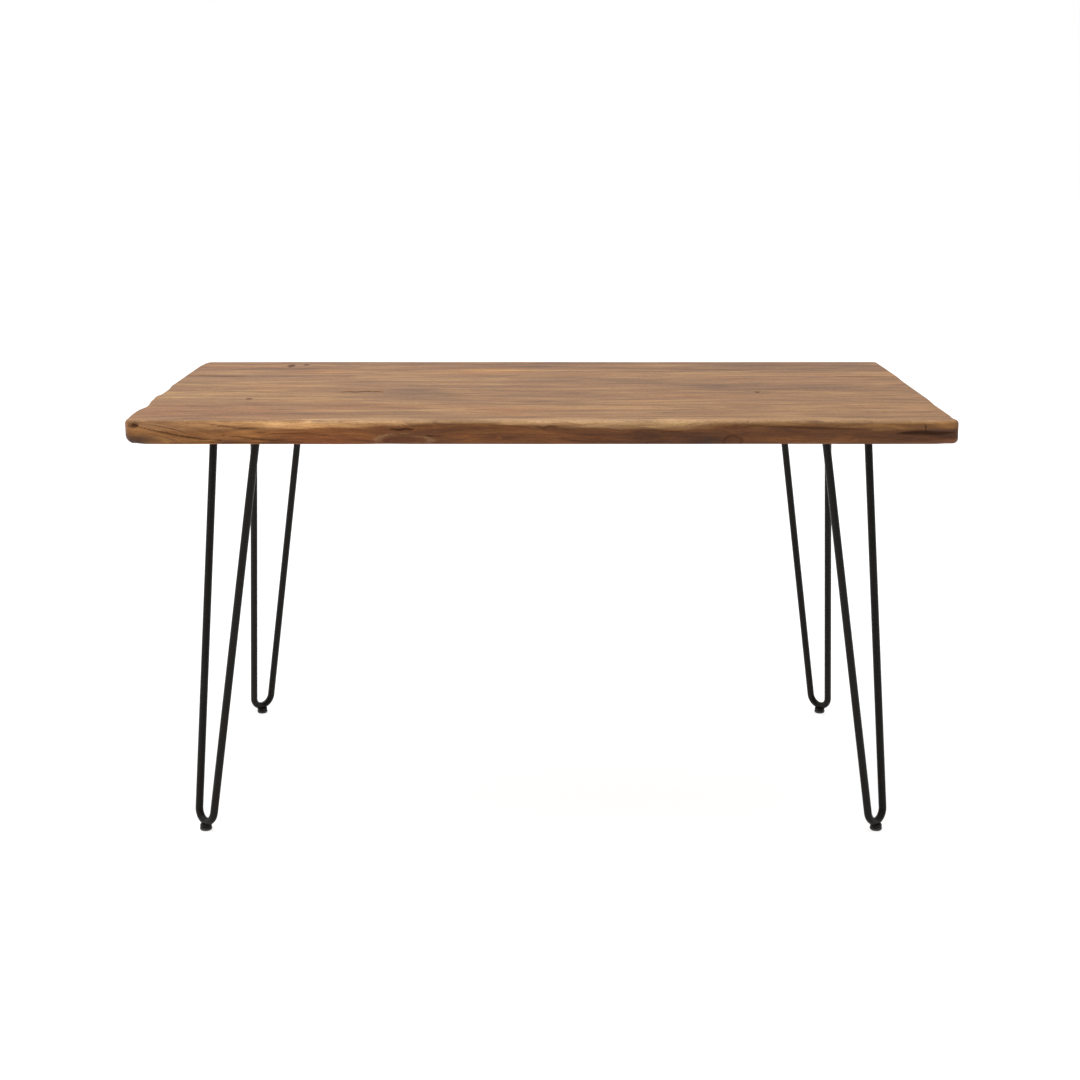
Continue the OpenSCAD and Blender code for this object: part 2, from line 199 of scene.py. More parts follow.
# Materials
def oiled_acacia(name, seed, tones):
    """Oiled, hand-planed acacia: sandy brown, finely streaked grain with open pores under a thin soft sheen.

    The grain attribute holds each point's place along the board, its distance from the pith and its
    place round it, so that the year rings run through the faces, edges and ends as they do in the log.
    The marks attribute holds the painted shadow in the checks, knots, dark heart stain, and pale sapwood
    with a painted highlight along the front's upper edge, and the tone attribute how much paler, redder or
    darker the wood is there, with painted shade and highlight on the front face.
    """
    material, tree, shader = new_material(name, IOR=1.48, Specular_IOR_Level=0.24)
    grain = add(tree, "Attribute", attribute_name="grain", out="Vector")
    marks = add(tree, "Attribute", attribute_name="marks", out="Color")
    sap_and_edge_highlight = add(tree, "Attribute", attribute_name="marks", out="Alpha")
    tone = add(tree, "Attribute", attribute_name="tone", out="Color")
    check_shadow, knot, stain = (add(tree, "SeparateColor", {0: marks}, out=k) for k in range(3))

    def streaks(along, across, round_about, detail, shift, rough=0.6, wander=0.0):
        """Noise drawn out along the grain, with lumps of these sizes in millimetres, that may wander."""
        place = add(tree, "Mapping", {
            "Vector": grain, "Location": (seed * 3.7 + shift, seed * 1.9, shift * 2.3),
            "Scale": (1 / (along * MM), 1 / (across * MM), 1 / (round_about * MM))})
        return add(tree, "TexNoise", {"Vector": place, "Scale": 1.0, "Detail": detail, "Roughness": rough,
                                      "Distortion": wander})

    # Streaks from 30 mm wide down to a few carry the tone, and year rings of about 4 mm lie over them.
    broad = streaks(250, 27, 90, 6.0, 1.0, 0.66, 0.7)
    rings = streaks(130, 4.2, 40, 4.0, 4.0, 0.6, 0.3)
    fibres = streaks(38, 1.1, 3.2, 3.0, 7.0)
    drift = streaks(280, 55, 150, 4.0, 33.0, 0.6, 0.6)
    colour = add(tree, "ValToRGB", {0: broad}, stops=list(zip((0.31, 0.44, 0.56, 0.71), tones)))
    # Share and colours of each tint: of the rings, the fibres, and streaks that run to grey or to gold.
    tints = ((0.56, rings, [(0.32, "#9d866a"), (0.5, "#e2d9ca"), (0.66, "#ffffff")]),
             (0.4, fibres, [(0.3, "#947e64"), (0.62, "#ffffff")]),
             (0.75, drift, [(0.36, "#ddd8c6"), (0.47, "#ffffff"), (0.55, "#ffffff"), (0.66, "#f7e3c3")]))
    tints = [(share, add(tree, "ValToRGB", {0: noise}, stops=stops)) for share, noise, stops in tints]
    for share, tint in tints + [(1.0, tone)]:
        colour = add(tree, "Mix", {0: share, 6: colour, 7: tint}, out=2, data_type="RGBA",
                     blend_type="MULTIPLY")
    # Dark resin lines about 8 mm wide come and go along the board.
    lines = add(tree, "ValToRGB", {0: streaks(190, 8.0, 40, 3.0, 15.0, 0.6, 0.5)},
                stops=[(0.57, 0.0), (0.66, 0.9)])
    spells = add(tree, "ValToRGB", {0: streaks(150, 44, 60, 2.0, 9.0)}, stops=[(0.42, 0.0), (0.6, 0.72)])
    # Pores are 0.3 mm wide in the tree. They are drawn at 0.6 mm, so that a close view still shows them.
    pores = add(tree, "ValToRGB", {0: streaks(7, 0.6, 0.6, 1.0, 21.0)}, stops=[(0.56, 0.0), (0.66, 1.0)])
    pale = add(tree, "Math", {0: sap_and_edge_highlight, 1: broad}, operation="MULTIPLY")
    # Sapwood with the painted highlight along the front's upper edge, resin, heart stain, knots, pores and
    # the painted shadow in the checks cover the wood by a share times a strength.
    for share, strength, cover in (
            (pale, 1.5, "#cda67a"), (lines, spells, "#4a2c1a"), (stain, 0.6, "#4c2c1c"),
            (knot, 1.0, "#3c1d07"), (pores, 0.38, "#3b2417"), (check_shadow, 1.0, "#271304")):
        share = add(tree, "Math", {0: share, 1: strength}, operation="MULTIPLY", use_clamp=True)
        colour = add(tree, "Mix", {0: share, 6: colour, 7: linear(cover)}, out=2, data_type="RGBA")
    tree.links.new(colour, shader["Base Color"])

    # Oil stays on the hard rings and sinks into the pores, knots and checks, which are left dull.
    rough = 0.5
    for mark, duller in ((rings, 0.14), (pores, 0.18), (knot, 0.4), (check_shadow, 0.5)):
        rough = add(tree, "Math", {0: mark, 1: duller, 2: rough}, operation="MULTIPLY_ADD", use_clamp=True)
    tree.links.new(rough, shader["Roughness"])
    relief = rings
    for mark, height in ((pores, -0.9), (fibres, -0.15)):
        relief = add(tree, "Math", {0: mark, 1: height, 2: relief}, operation="MULTIPLY_ADD")
    bump = add(tree, "Bump", {"Height": relief, "Strength": 0.55, "Distance": 0.14 * MM})
    tree.links.new(bump, shader["Normal"])
    return material


def finish_with_noise(name, patch, colours, roughness, relief, **even):
    """A finish whose colour and roughness drift over patches, with its own fine relief.

    patch is the patches' size, and relief holds (size, depth, stretch) of each relief, in millimetres.
    """
    material, tree, shader = new_material(name, **even)
    place = add(tree, "TexCoord", out="Object")
    drift = add(tree, "TexNoise", {"Vector": place, "Scale": 1 / (patch * MM), "Detail": 3.0})
    spaced = [(0.3 + 0.4 * k / (len(colours) - 1), colour) for k, colour in enumerate(colours)]
    tree.links.new(add(tree, "ValToRGB", {0: drift}, stops=spaced), shader["Base Color"])
    rough = add(tree, "MapRange", {0: drift, 1: 0.3, 2: 0.7, 3: roughness[0], 4: roughness[1]})
    tree.links.new(rough, shader["Roughness"])
    bump = None
    for size, depth, stretch in relief:
        scale = (1 / (size * stretch * MM), 1 / (size * stretch * MM), 1 / (size * MM))
        at = add(tree, "Mapping", {"Vector": place, "Scale": scale})
        height = add(tree, "TexNoise", {"Vector": at, "Scale": 1.0, "Detail": 1.0})
        under = {"Normal": bump} if bump else {}
        bump = add(tree, "Bump", {"Height": height, "Strength": 0.5, "Distance": depth * MM, **under})
    tree.links.new(bump, shader["Normal"])
    return material


# Helpers for shapes
def dice(i, j, k, seed):
    """An even random number from -1 to 1 for each whole-number place."""
    h = (i * 73856093) ^ (j * 19349663) ^ (k * 83492791) ^ (seed * 40503)
    h = (h & 0xFFFFFFFF) * 2246822519 & 0xFFFFFFFF
    h = (h ^ (h >> 15)) * 3266489917 & 0xFFFFFFFF
    return ((h ^ (h >> 13)) & 0xFFFFFF) / 0x7FFFFF - 1.0


def lumps(x, y, z, sizes, seed):
    """Smooth noise from -1 to 1 whose lumps measure sizes millimetres along x, y and z."""
    places = [np.asarray(v, float) / size for v, size in zip((x, y, z), sizes)]
    cells = [np.floor(v).astype(np.int64) for v in places]
    parts = [v - cell for v, cell in zip(places, cells)]
    parts = [v * v * (3 - 2 * v) for v in parts]
    total = 0.0
    for corner in range(8):
        steps = [(corner >> bit) & 1 for bit in range(3)]
        weight = 1.0
        for part, step in zip(parts, steps):
            weight = weight * (part if step else 1 - part)
        total = total + weight * dice(*[cell + step for cell, step in zip(cells, steps)], seed)
    return total


def ease(value, start, end):
    """0 before start, 1 after end and smooth between, either way round."""
    t = np.clip((value - start) / (end - start), 0.0, 1.0)
    return t * t * (3 - 2 * t)


def bell(x, y, long, wide):
    """1 at the middle and falling off smoothly, to a third at the distances long and wide."""
    return np.exp(-(x / long) ** 2 - (y / wide) ** 2)


def tinted(tone, amount, change):
    """A colour whose red, green and blue each change by a share, where the amount is 1."""
    return tone * (1 + amount[..., None] * np.array(change))


def away_from_path(x, y, path):
    """Distance from each point to a bent line, and the share along the line of the nearest place."""
    best = np.full(np.shape(x), 1e9)
    along = np.zeros(np.shape(x))
    runs = [math.dist(a, b) for a, b in zip(path, path[1:])]
    done = 0.0
    for (ax, ay), (bx, by), run in zip(path, path[1:], runs):
        t = np.clip(((x - ax) * (bx - ax) + (y - ay) * (by - ay)) / run ** 2, 0.0, 1.0)
        gap = np.hypot(x - ax - t * (bx - ax), y - ay - t * (by - ay))
        nearer = gap < best
        best = np.where(nearer, gap, best)
        along = np.where(nearer, (done + t * run) / sum(runs), along)
        done += run
    return best, along


# The wood's own marks, in millimetres
# Waves of the hand-shaped edges: share along the edge and depth of the hollow, as the solids have them.
FRONT_WAVE = ((0, 2), (0.06, 0), (0.28, 0), (0.317, 3), (0.35, 0.5), (0.6, 0), (0.78, 1.5),
              (0.9, 0.5), (1, 1))
REAR_WAVE = ((0, 2), (0.3, 0), (0.45, 0), (0.65, 1.5), (0.85, 0.5), (1, 1))
LEFT_WAVE = ((0, 8.8), (0.03, 5), (0.14, 4), (0.21, 10), (0.3, 3.5), (0.36, 0.5), (0.4, 5), (0.47, 5),
             (0.55, 0.5), (0.7, 0), (0.9, 0), (0.96, 2.5), (1, 7))
RIGHT_WAVE = ((0, 4), (0.04, 7), (0.2, 7), (0.34, 3.5), (0.6, 2.5), (0.72, 0), (0.95, 0), (1, 0.5))
# How far into the boards their lines follow the waves, and the radius of the table's corners.
WAVE_REACH = 50.0
CORNER_R = 11.0
# How far down and how far in the upper edge is eased, the same where the front edge ends, and how much
# further down the rear edge is eased.
EASE_DROP, EASE_INSET = 6.5, 3.6
END_DROP, END_INSET = 8.0, 6.0
REAR_MORE = 1.5
# Radius of the lower edge, and how much more it is at both ends and again at the left one.
LOWER_R, ENDS_MORE, LEFT_MORE = 4.5, 5.0, 3.5
# The worn upper edge of the front: (share along the edge, how far down) and (share, how far in).
FRONT_DROP = ((0, 6), (0.22, 7), (0.33, 11), (0.6, 12), (0.85, 11), (1, 9))
FRONT_INSET = ((0, 5), (0.2, 7), (0.3, 9), (0.5, 8), (0.75, 10), (0.9, 13), (1, 8))
FRONT_FACE = -DEPTH / 2

# Checks that opened as the boards dried: path, width, depth, and how dark the painted shadow in them is.
# The top's are seen from above.
TOP_CHECKS = (
    (((-378, -62), (-358, -50), (-345, -58), (-329, -46), (-313, -55), (-306, -48), (-294, -60)),
     6.0, 3.0, 0.95),
    (((585, 165), (618, 161), (652, 158), (702, 163)), 5.0, 2.0, 0.85),
    (((-701, 182), (-677, 180), (-628, 173), (-585, 171)), 4.5, 1.5, 0.75),
)
# Those of the front edge are seen from the front, so their paths are in x and z. Some of them are dark
# lines of painted shadow under the rounded upper edge.
FRONT_CHECKS = (
    (((-684, 746), (-672, 743), (-641, 736), (-608, 729), (-569, 723.5), (-536, 721.5)), 1.5, 1.8, 0.75),
    (((-556, 748), (-528, 745), (-506, 742), (-464, 741.5)), 1.5, 1.2, 0.6),
    (((-537, 730), (-506, 727.5), (-479, 723.5), (-449, 721), (-420, 723)), 1.5, 0.8, 0.7),
    (((-256, 741), (-240, 739), (-228, 741), (-212, 739.5)), 2.2, 1.6, 0.8),
    (((-10, 744), (4, 742.5), (14, 745), (34, 743)), 2.4, 1.2, 0.6),
    (((330, 747), (390, 745), (470, 742.5), (556, 739.5)), 2.4, 1.0, 0.5),
    (((-264, 726), (-250, 731), (-215, 730.5), (-158, 727.5)), 1.5, 0.8, 0.6),
    (((-640, 716), (-560, 718.5), (-470, 717), (-400, 719)), 1.8, 0.6, 0.6),
    (((-480, 735), (-440, 733), (-400, 733.5), (-352, 730)), 1.3, 0.6, 0.55),
    (((200, 735), (222, 736.5), (247, 736)), 1.2, 0.8, 0.6),
    (((600, 733.5), (640, 735), (668, 733), (696, 735)), 4.6, 0.8, 0.85),
    (((648, 737), (647, 749)), 1.3, 1.6, 0.8),
)
# Spike knots run down through the top: middle, reach along and across the grain, how dark.
TOP_KNOTS = ((-518, 338, 7, 26, 0.6), (-489, 354, 6, 13, 0.45), (-531, -146, 7, 9, 0.55),
             (404, -56, 4.5, 9, 0.85))
# Those of the front edge run back into it: middle, half length, half height, how dark, and how pale
# their rim is, or how dark where it is below nought.
FRONT_KNOTS = ((-232, 721, 42, 9.5, 0.15, 0.22), (323, 719, 15, 9.5, 0.3, -0.75),
               (-686, 747, 9, 4.5, 1.0, 0.0))
# Bites out of the edge: middle along x, height, half length, half height, depth.
EDGE_BITES = ((-684, 747, 7, 3.5, 4.5), (-257, 718, 2.5, 8, 2.2), (-226, 714, 30, 3, 1.6),
              (-396, 753, 12, 4, 2.0), (150, 714, 60, 2.5, 1.2), (460, 714, 45, 2.5, 1.0))

# Tones that drift over the upper face: middle, reach along and across, change of red, green and blue.
TOP_TONES = (
    (-560, 10, 170, 130, (0.19, 0.19, 0.10)), (-545, -320, 170, 70, (0.05, -0.14, -0.34)),
    (-235, -40, 55, 95, (-0.20, -0.22, -0.16)), (-92, -90, 48, 12, (0.42, 0.46, 0.40)),
    (480, 330, 330, 100, (-0.28, -0.28, -0.27)), (380, -30, 320, 150, (-0.06, -0.08, -0.08)),
    (-640, 168, 120, 16, (-0.30, -0.32, -0.28)), (-420, 230, 150, 14, (-0.14, -0.14, -0.10)),
    (-690, -260, 60, 60, (-0.10, -0.18, -0.22)), (-40, -300, 260, 60, (0.06, 0.06, 0.08)),
    (560, -290, 180, 60, (0.06, 0.05, 0.00)), (100, 260, 220, 40, (0.05, 0.05, 0.04)),
    (635, 160, 80, 13, (-0.50, -0.52, -0.48)), (470, 160, 90, 7, (-0.16, -0.17, -0.15)),
    (-610, 174, 150, 18, (-0.42, -0.46, -0.44)), (-600, 300, 190, 90, (-0.05, -0.10, -0.12)),
    (-600, 90, 200, 50, (0.05, 0.07, 0.06)), (-520, -190, 70, 9, (-0.20, -0.24, -0.22)),
    (-590, -235, 110, 17, (-0.12, -0.28, -0.32)), (-560, -150, 120, 20, (0.10, 0.12, 0.12)),
    (-630, -303, 70, 10, (-0.26, -0.30, -0.30)),
    (-370, -200, 60, 8, (-0.18, -0.20, -0.18)), (-370, 160, 45, 10, (-0.18, -0.20, -0.18)),
    (240, 120, 180, 12, (-0.14, -0.15, -0.12)), (-480, -60, 90, 9, (-0.20, -0.20, -0.16)),
    (-200, 330, 200, 12, (-0.16, -0.16, -0.12)), (560, 60, 120, 9, (-0.18, -0.18, -0.14)),
)
# The front edge: the sapwood's lower limit at places along it, then places along it and the red, green
# and blue of the sapwood and of the heartwood there. The sapwood's numbers above 1 are partly a painted
# highlight where the rounded upper edge catches the light, and the heartwood's, far below 1, partly painted
# shade, as the front face gets less light than the top.
SAP_LIMIT = ((-710, 737), (-470, 740), (-400, 743), (-340, 746), (-250, 747), (-190, 751), (-90, 751),
             (-20, 748), (65, 745), (130, 743), (255, 742), (280, 744), (300, 747), (330, 747),
             (352, 746), (560, 741), (600, 742), (705, 741))
SAP_AND_HIGHLIGHT_TONES = ((-708, -688, -400, -100, 150, 330, 500, 688, 708),
             (0.52, 1.02, 1.96, 1.68, 1.30, 0.67, 0.64, 0.88, 0.60),
             (0.50, 1.04, 2.20, 1.92, 1.54, 0.62, 0.59, 0.81, 0.54),
             (0.56, 1.30, 2.66, 2.42, 2.16, 0.57, 0.52, 0.72, 0.50))
HEART_AND_SHADE_TONES = ((-708, -688, -500, -400, -250, 0, 250, 420, 688, 708),
               (0.42, 0.78, 0.84, 0.64, 0.50, 0.45, 0.33, 0.36, 0.31, 0.34),
               (0.37, 0.72, 0.69, 0.43, 0.34, 0.31, 0.22, 0.25, 0.21, 0.27),
               (0.36, 0.64, 0.52, 0.27, 0.21, 0.20, 0.14, 0.165, 0.14, 0.23))
# Tones that drift over the front edge, as those of the upper face, with the second place a height. The
# dark patches low at the left end are partly stain and partly painted shade under the lower edge, and
# the thin pale line over the check near x 222 is a painted highlight on its lip.
FRONT_TONES = (
    (-686, 717, 38, 14, (-0.86, -0.89, -0.88)), (-530, 717, 22, 8, (-0.45, -0.52, -0.48)),
    (-450, 716, 40, 7, (-0.40, -0.46, -0.44)), (280, 719, 34, 12, (-0.64, -0.66, -0.54)),
    (-120, 722, 24, 5, (0.50, 0.60, 0.50)), (-70, 726, 4, 2, (1.0, 1.1, 1.2)),
    (-150, 728, 60, 1.6, (0.35, 0.30, 0.25)), (222, 738.5, 14, 1.2, (0.60, 0.60, 0.50)),
    (650, 733, 45, 5, (-0.42, -0.46, -0.46)), (-340, 722, 90, 8, (-0.12, -0.25, -0.25)),
    (430, 724, 90, 5, (0.15, 0.12, 0.08)), (690, 720, 12, 6, (0.25, 0.10, 0.10)),
)
# How strongly a painted highlight lightens the front's upper edge at places along it, in the sapwood's
# colour.
EDGE_HIGHLIGHT = ((-705, 0.15), (-560, 0.1), (-410, 0.15), (-390, 0.9), (-200, 0.8), (-150, 0.25), (-110, 0.3),
             (-60, 0.75), (240, 0.8), (330, 0.5), (560, 0.3), (600, 0.45), (660, 0.5), (700, 0.2))

# The radius of the arc that gives the grain's place round the pith its length.
PITH_ARC_R = 150.0

# The lines of the boards' meshes: their pitch, spans of the front board where they are closer as (from,
# to, pitch), and the rings round the lower edge, up the wall and round the upper edge.
BOARD_PITCH, FRONT_PITCH = 6.0, 4.0
FRONT_FINE = [(-694, -530, 2.2), (-284, -186, 2.2), (300, 350, 2.2), (640, 656, 1.5)]
LOWER_RINGS, WALL_RINGS, FRONT_WALL_RINGS, UPPER_RINGS = 5, 5, 18, 8


def wave(points, share):
    """Depth of the hand-shaped edge's hollow at a share along it."""
    share = np.clip(share, 0.0, 1.0)
    xs, ys = (np.array(values, float) for values in zip(*points))
    i = np.clip(np.searchsorted(xs, share, side="right") - 1, 0, len(xs) - 2)
    t = (share - xs[i]) / (xs[i + 1] - xs[i])
    return ys[i] + (ys[i + 1] - ys[i]) * (1 - np.cos(np.pi * t)) / 2


def lines_between(low, high, pitch, fine):
    """Places from low to high about a pitch apart, closer in the fine spans of (from, to, pitch)."""
    places = [low]
    while places[-1] < high - 1e-6:
        here = places[-1]
        step = pitch
        for start, end, close in fine:
            if start - pitch <= here <= end:
                step = min(step, close)
        places.append(min(here + step, high))
    if places[-1] - places[-2] < 0.3 * pitch and len(places) > 2:
        places.pop(-2)
    return np.array(places)


def front_ease(x):
    """How far down and how far in the worn upper edge of the front reaches, at each place along it."""
    share = np.clip(np.abs(np.asarray(x, float) + LENGTH / 2) / LENGTH, 0.0, 1.0)
    drop = np.interp(share, *zip(*FRONT_DROP)) * (1 + 0.22 * lumps(x, 0, 0, (46, 1, 1), 37))
    inset = np.interp(share, *zip(*FRONT_INSET)) * (1 + 0.3 * lumps(x, 0, 0, (70, 1, 1), 31))
    near_end = ease(LENGTH / 2 - np.abs(x), 90, 14)
    return drop + near_end * (END_DROP - drop), inset + near_end * (END_INSET - inset)


def upper_ease(x, y):
    """How far down and how far in the upper edge is rounded at each place of the outline."""
    drop, inset = front_ease(x)
    at_front = ease(y, -DEPTH / 2 + 60, -DEPTH / 2 + 40)
    at_rear = ease(y, DEPTH / 2 - 60, DEPTH / 2 - 40)
    drop = EASE_DROP + at_front * (drop - EASE_DROP) + at_rear * REAR_MORE
    inset = EASE_INSET + at_front * (inset - EASE_INSET)
    return drop, inset


def lower_ease(x):
    """Radius of the lower edge, which is rounder towards the ends, and most at the left."""
    at_ends = ease(LENGTH / 2 - np.abs(x), 50, 10)
    at_left = ease(x, 30 - LENGTH / 2, 6 - LENGTH / 2)
    return LOWER_R + ENDS_MORE * at_ends + LEFT_MORE * at_left


def on_top_plan(x, y, inset, front, rear):
    """Places of a board moved onto the hand-shaped outline, drawn in from it by an inset."""
    def fade(gap):
        """1 at an edge of the table, and 0 where its waves no longer reach."""
        return np.clip(1 - gap / WAVE_REACH, 0, 1)

    half = LENGTH / 2
    left = wave(LEFT_WAVE, y / DEPTH + 0.5) + inset
    right = wave(RIGHT_WAVE, y / DEPTH + 0.5) + inset
    at_x = x + left * fade(x + half) - right * fade(half - x)
    at_y = np.array(y, float)
    if front:
        at_y = at_y + (wave(FRONT_WAVE, x / LENGTH + 0.5) + inset) * fade(y + DEPTH / 2)
    if rear:
        at_y = at_y - (wave(REAR_WAVE, x / LENGTH + 0.5) + inset) * fade(DEPTH / 2 - y)
    radius = np.maximum(CORNER_R - inset, 1.0)
    for side, hollow in ((-1, LEFT_WAVE), (1, RIGHT_WAVE)):
        for end in ([-1] if front else []) + ([1] if rear else []):
            edge = wave(FRONT_WAVE if end < 0 else REAR_WAVE, side * 0.5 + 0.5)
            middle_x = side * (half - wave(hollow, end * 0.5 + 0.5) - CORNER_R)
            middle_y = end * (DEPTH / 2 - edge - CORNER_R)
            p = np.clip(side * (at_x - middle_x) / radius, 0, 1)
            q = np.clip(end * (at_y - middle_y) / radius, 0, 1)
            inside = (p > 0) & (q > 0)
            at_x = np.where(inside, middle_x + side * radius * p * np.sqrt(1 - q * q / 2), at_x)
            at_y = np.where(inside, middle_y + end * radius * q * np.sqrt(1 - p * p / 2), at_y)
    return at_x, at_y


def check_depth(x, y, checks):
    """How deep the drying checks are at each point, and how dark the painted shadow in them is."""
    deep, shadow_in_checks = np.zeros(np.shape(x)), np.zeros(np.shape(x))
    for path, width, depth, darkest in checks:
        gap, along = away_from_path(x, y, path)
        open_by = width * np.sin(np.pi * np.clip(along, 0.04, 0.96)) ** 0.6
        deep = np.maximum(deep, depth * np.clip(1 - gap / open_by, 0, 1) ** 0.8)
        shadow_in_checks = np.maximum(shadow_in_checks, darkest * ease(gap, open_by * 1.2, open_by * 0.35))
    return deep, shadow_in_checks


def planed_hollows(x, y):
    """How far the hand plane left the upper face below its highest places."""
    broad = 0.16 * (1 + lumps(x, y, 0, (240, 70, 1), 3))
    strokes = 0.07 * (1 + lumps(x, y, 0, (95, 24, 1), 5))
    return broad + strokes


def wood_tone(x, y, z, front):
    """Paler, redder or darker wood, and the front's painted shade and highlight, as a colour multiplying its
    own.
    """
    streaks = lumps(x, y, z, (170, 9, 60), 61)
    patches = lumps(x, y, z, (360, 85, 220), 63) + 0.6 * lumps(x, y, z, (170, 42, 120), 65)
    tone = tinted(1.0, 0.13 * patches, (0.9, 1.0, 1.15))
    for at_x, at_y, long, wide, change in TOP_TONES:
        near = bell(x - at_x, y - at_y, long, wide)
        near = near * (0.62 + 0.38 * streaks if wide < 40 else 0.75 + 0.152 * streaks)
        tone = tinted(tone, near, change)
    if front:
        face = ease(y, FRONT_FACE + 34, FRONT_FACE + 16) * ease(z, TOP_HIGH - 0.3, TOP_HIGH - 3.5)
        ragged = z + 2.0 * lumps(x, y, z, (30, 60, 60), 81) + 2.6 * lumps(x, y, z, (46, 60, 2.4), 82)
        limit = np.interp(x, *zip(*SAP_LIMIT))
        heart = ease(ragged, limit + 5.5, limit - 5.5)
        # Below the sapwood's limit the front is darkened, partly with painted shade; above it lightened,
        # partly with a painted highlight.
        heart_and_shade_tone, sap_and_highlight_tone = (np.stack([np.interp(x, table[0], row) for row in table[1:]], axis=-1)
                                for table in (HEART_AND_SHADE_TONES, SAP_AND_HIGHLIGHT_TONES))
        both = sap_and_highlight_tone + heart[..., None] * (heart_and_shade_tone - sap_and_highlight_tone)
        lines = 0.15 * lumps(x, y, z, (90, 60, 4.2), 87) + 0.17 * lumps(x, y, z, (36, 60, 2.1), 88)
        both = tinted(both, lines, (0.9, 1.1, 1.2))
        tone = tone * (1 + face[..., None] * (both - 1))
        for at_x, at_z, long, tall, change in FRONT_TONES:
            tone = tinted(tone, bell(x - at_x, z - at_z, long, tall) * face, change)
    return np.clip(tone, 0.1, 3.0)


def wood_attributes(x, y, z, pith, seed, front):
    """The grain and marks of points in a board sawn beside its pith, given as (y, z, tilt)."""
    pith_y = pith[0] + pith[2] * x
    reach = np.hypot(y - pith_y, z - pith[1])
    reach = reach + 4.0 * lumps(x, y, z, (430, 80, 90), seed)
    reach = reach + 1.2 * lumps(x, y, z, (120, 36, 40), seed + 1)
    turn = np.arctan2(y - pith_y, z - pith[1]) * PITH_ARC_R
    away = np.where(y > pith_y, 1.0, -1.0)
    knot_dark = np.zeros(np.shape(x))
    stain = np.zeros(np.shape(x))
    sap_and_edge_highlight = np.zeros(np.shape(x))
    for at_x, at_y, long, wide, darkest in TOP_KNOTS:
        dx, dy = x - at_x, y - at_y
        near = bell(dx, dy, 3.5 * long, 1.6 * wide + 5)
        reach = reach - away * 0.7 * dy * near
        gap = np.hypot(dx / long, dy / wide) + 0.16 * lumps(x, y, z, (6, 7, 9), 71)
        reach = reach + ease(gap, 1.2, 0.9) * (1.6 * long * gap - reach + 40)
        knot_dark = np.maximum(knot_dark, darkest * ease(gap, 1.15, 0.6))
        stain = np.maximum(stain, 0.4 * near)
    if front:
        back = ease(y, FRONT_FACE + 70, FRONT_FACE + 25)
        # The grain runs flat along the front edge, dips at its left end and swells over the knots.
        reach = reach + 0.55 * back * (z - TOP_HIGH)
        reach = reach + back * (34 * ease(x, -705, -520) + 5 * lumps(x, 0, z, (110, 1, 26), 83))
        reach = reach + back * 1.6 * lumps(x, 0, z, (34, 1, 9), 84)
        for at_x, at_z, long, tall, darkest, pale_rim in FRONT_KNOTS:
            dx, dz = (x - at_x) / long, (z - at_z) / tall
            near = bell(dx, dz, 1.7, 1.6) * back
            reach = reach + 0.75 * (z - at_z) * near
            gap = np.hypot(dx, dz) + 0.13 * lumps(x, y, z, (9, 30, 4), 73)
            core = ease(gap, 1.12, 0.88) * back
            reach = reach + core * (1.2 * tall * gap - reach + 60)
            rim = np.exp(-((gap - 1.05) / 0.16) ** 2) * back
            knot_dark = np.maximum(knot_dark, darkest * core * (0.55 + 0.45 * ease(gap, 0.6, 0.2)))
            sap_and_edge_highlight = np.maximum(sap_and_edge_highlight, pale_rim * rim * ease(z, at_z - 0.6 * tall, at_z))
            knot_dark = np.maximum(knot_dark, -pale_rim * rim)
            stain = np.maximum(stain, 0.35 * near)
        # A painted highlight along the front's upper edge, where its rounding catches the light, in the
        # sapwood's pale colour.
        edge_highlight = np.interp(x, *zip(*EDGE_HIGHLIGHT)) * np.exp(-((z - TOP_HIGH + 2.2) / 2.6) ** 2)
        edge_highlight = edge_highlight * ease(y, FRONT_FACE + 26, FRONT_FACE + 15)
        edge_highlight = edge_highlight * (0.8 + 0.35 * lumps(x, y, 0, (30, 9, 1), 85))
        sap_and_edge_highlight = np.maximum(sap_and_edge_highlight, edge_highlight)
    grain = np.stack([x, reach, turn], axis=-1) * MM
    return grain, knot_dark, stain, np.clip(sap_and_edge_highlight, 0, 1)


def border(i0, i1, j0, j1):
    """The places round a block of a grid, in turn from its first corner."""
    return ([(i, j0) for i in range(i0, i1)] + [(i1, j) for j in range(j0, j1)]
            + [(i, j1) for i in range(i1, i0, -1)] + [(i0, j) for j in range(j1, j0, -1)])


def board_lines(low, high, front):
    """Where a board's mesh has lines along and across it, closer at the table's edges and its marks."""
    half = LENGTH / 2
    fine_x = [(-half, -half + 20, 2.5), (half - 20, half, 2.5)] + (FRONT_FINE if front else [])
    fine_y = [(-DEPTH / 2, -DEPTH / 2 + 20, 2.0), (DEPTH / 2 - 20, DEPTH / 2, 2.0)]
    for path, *rest in TOP_CHECKS:
        at_x, at_y = zip(*path)
        if low < min(at_y) and max(at_y) < high:
            fine_x.append((min(at_x) - 4, max(at_x) + 4, 2.5))
            fine_y.append((min(at_y) - 3, max(at_y) + 3, 0.9))
    for at_x, at_y, long, wide, darkest in TOP_KNOTS:
        if low < at_y < high:
            fine_x.append((at_x - 2 * long, at_x + 2 * long, 1.6))
            fine_y.append((at_y - 1.4 * wide, at_y + 1.4 * wide, 2.0))
    pitch = FRONT_PITCH if front else BOARD_PITCH
    return lines_between(-half, half, pitch, fine_x), lines_between(low, high, pitch, fine_y)


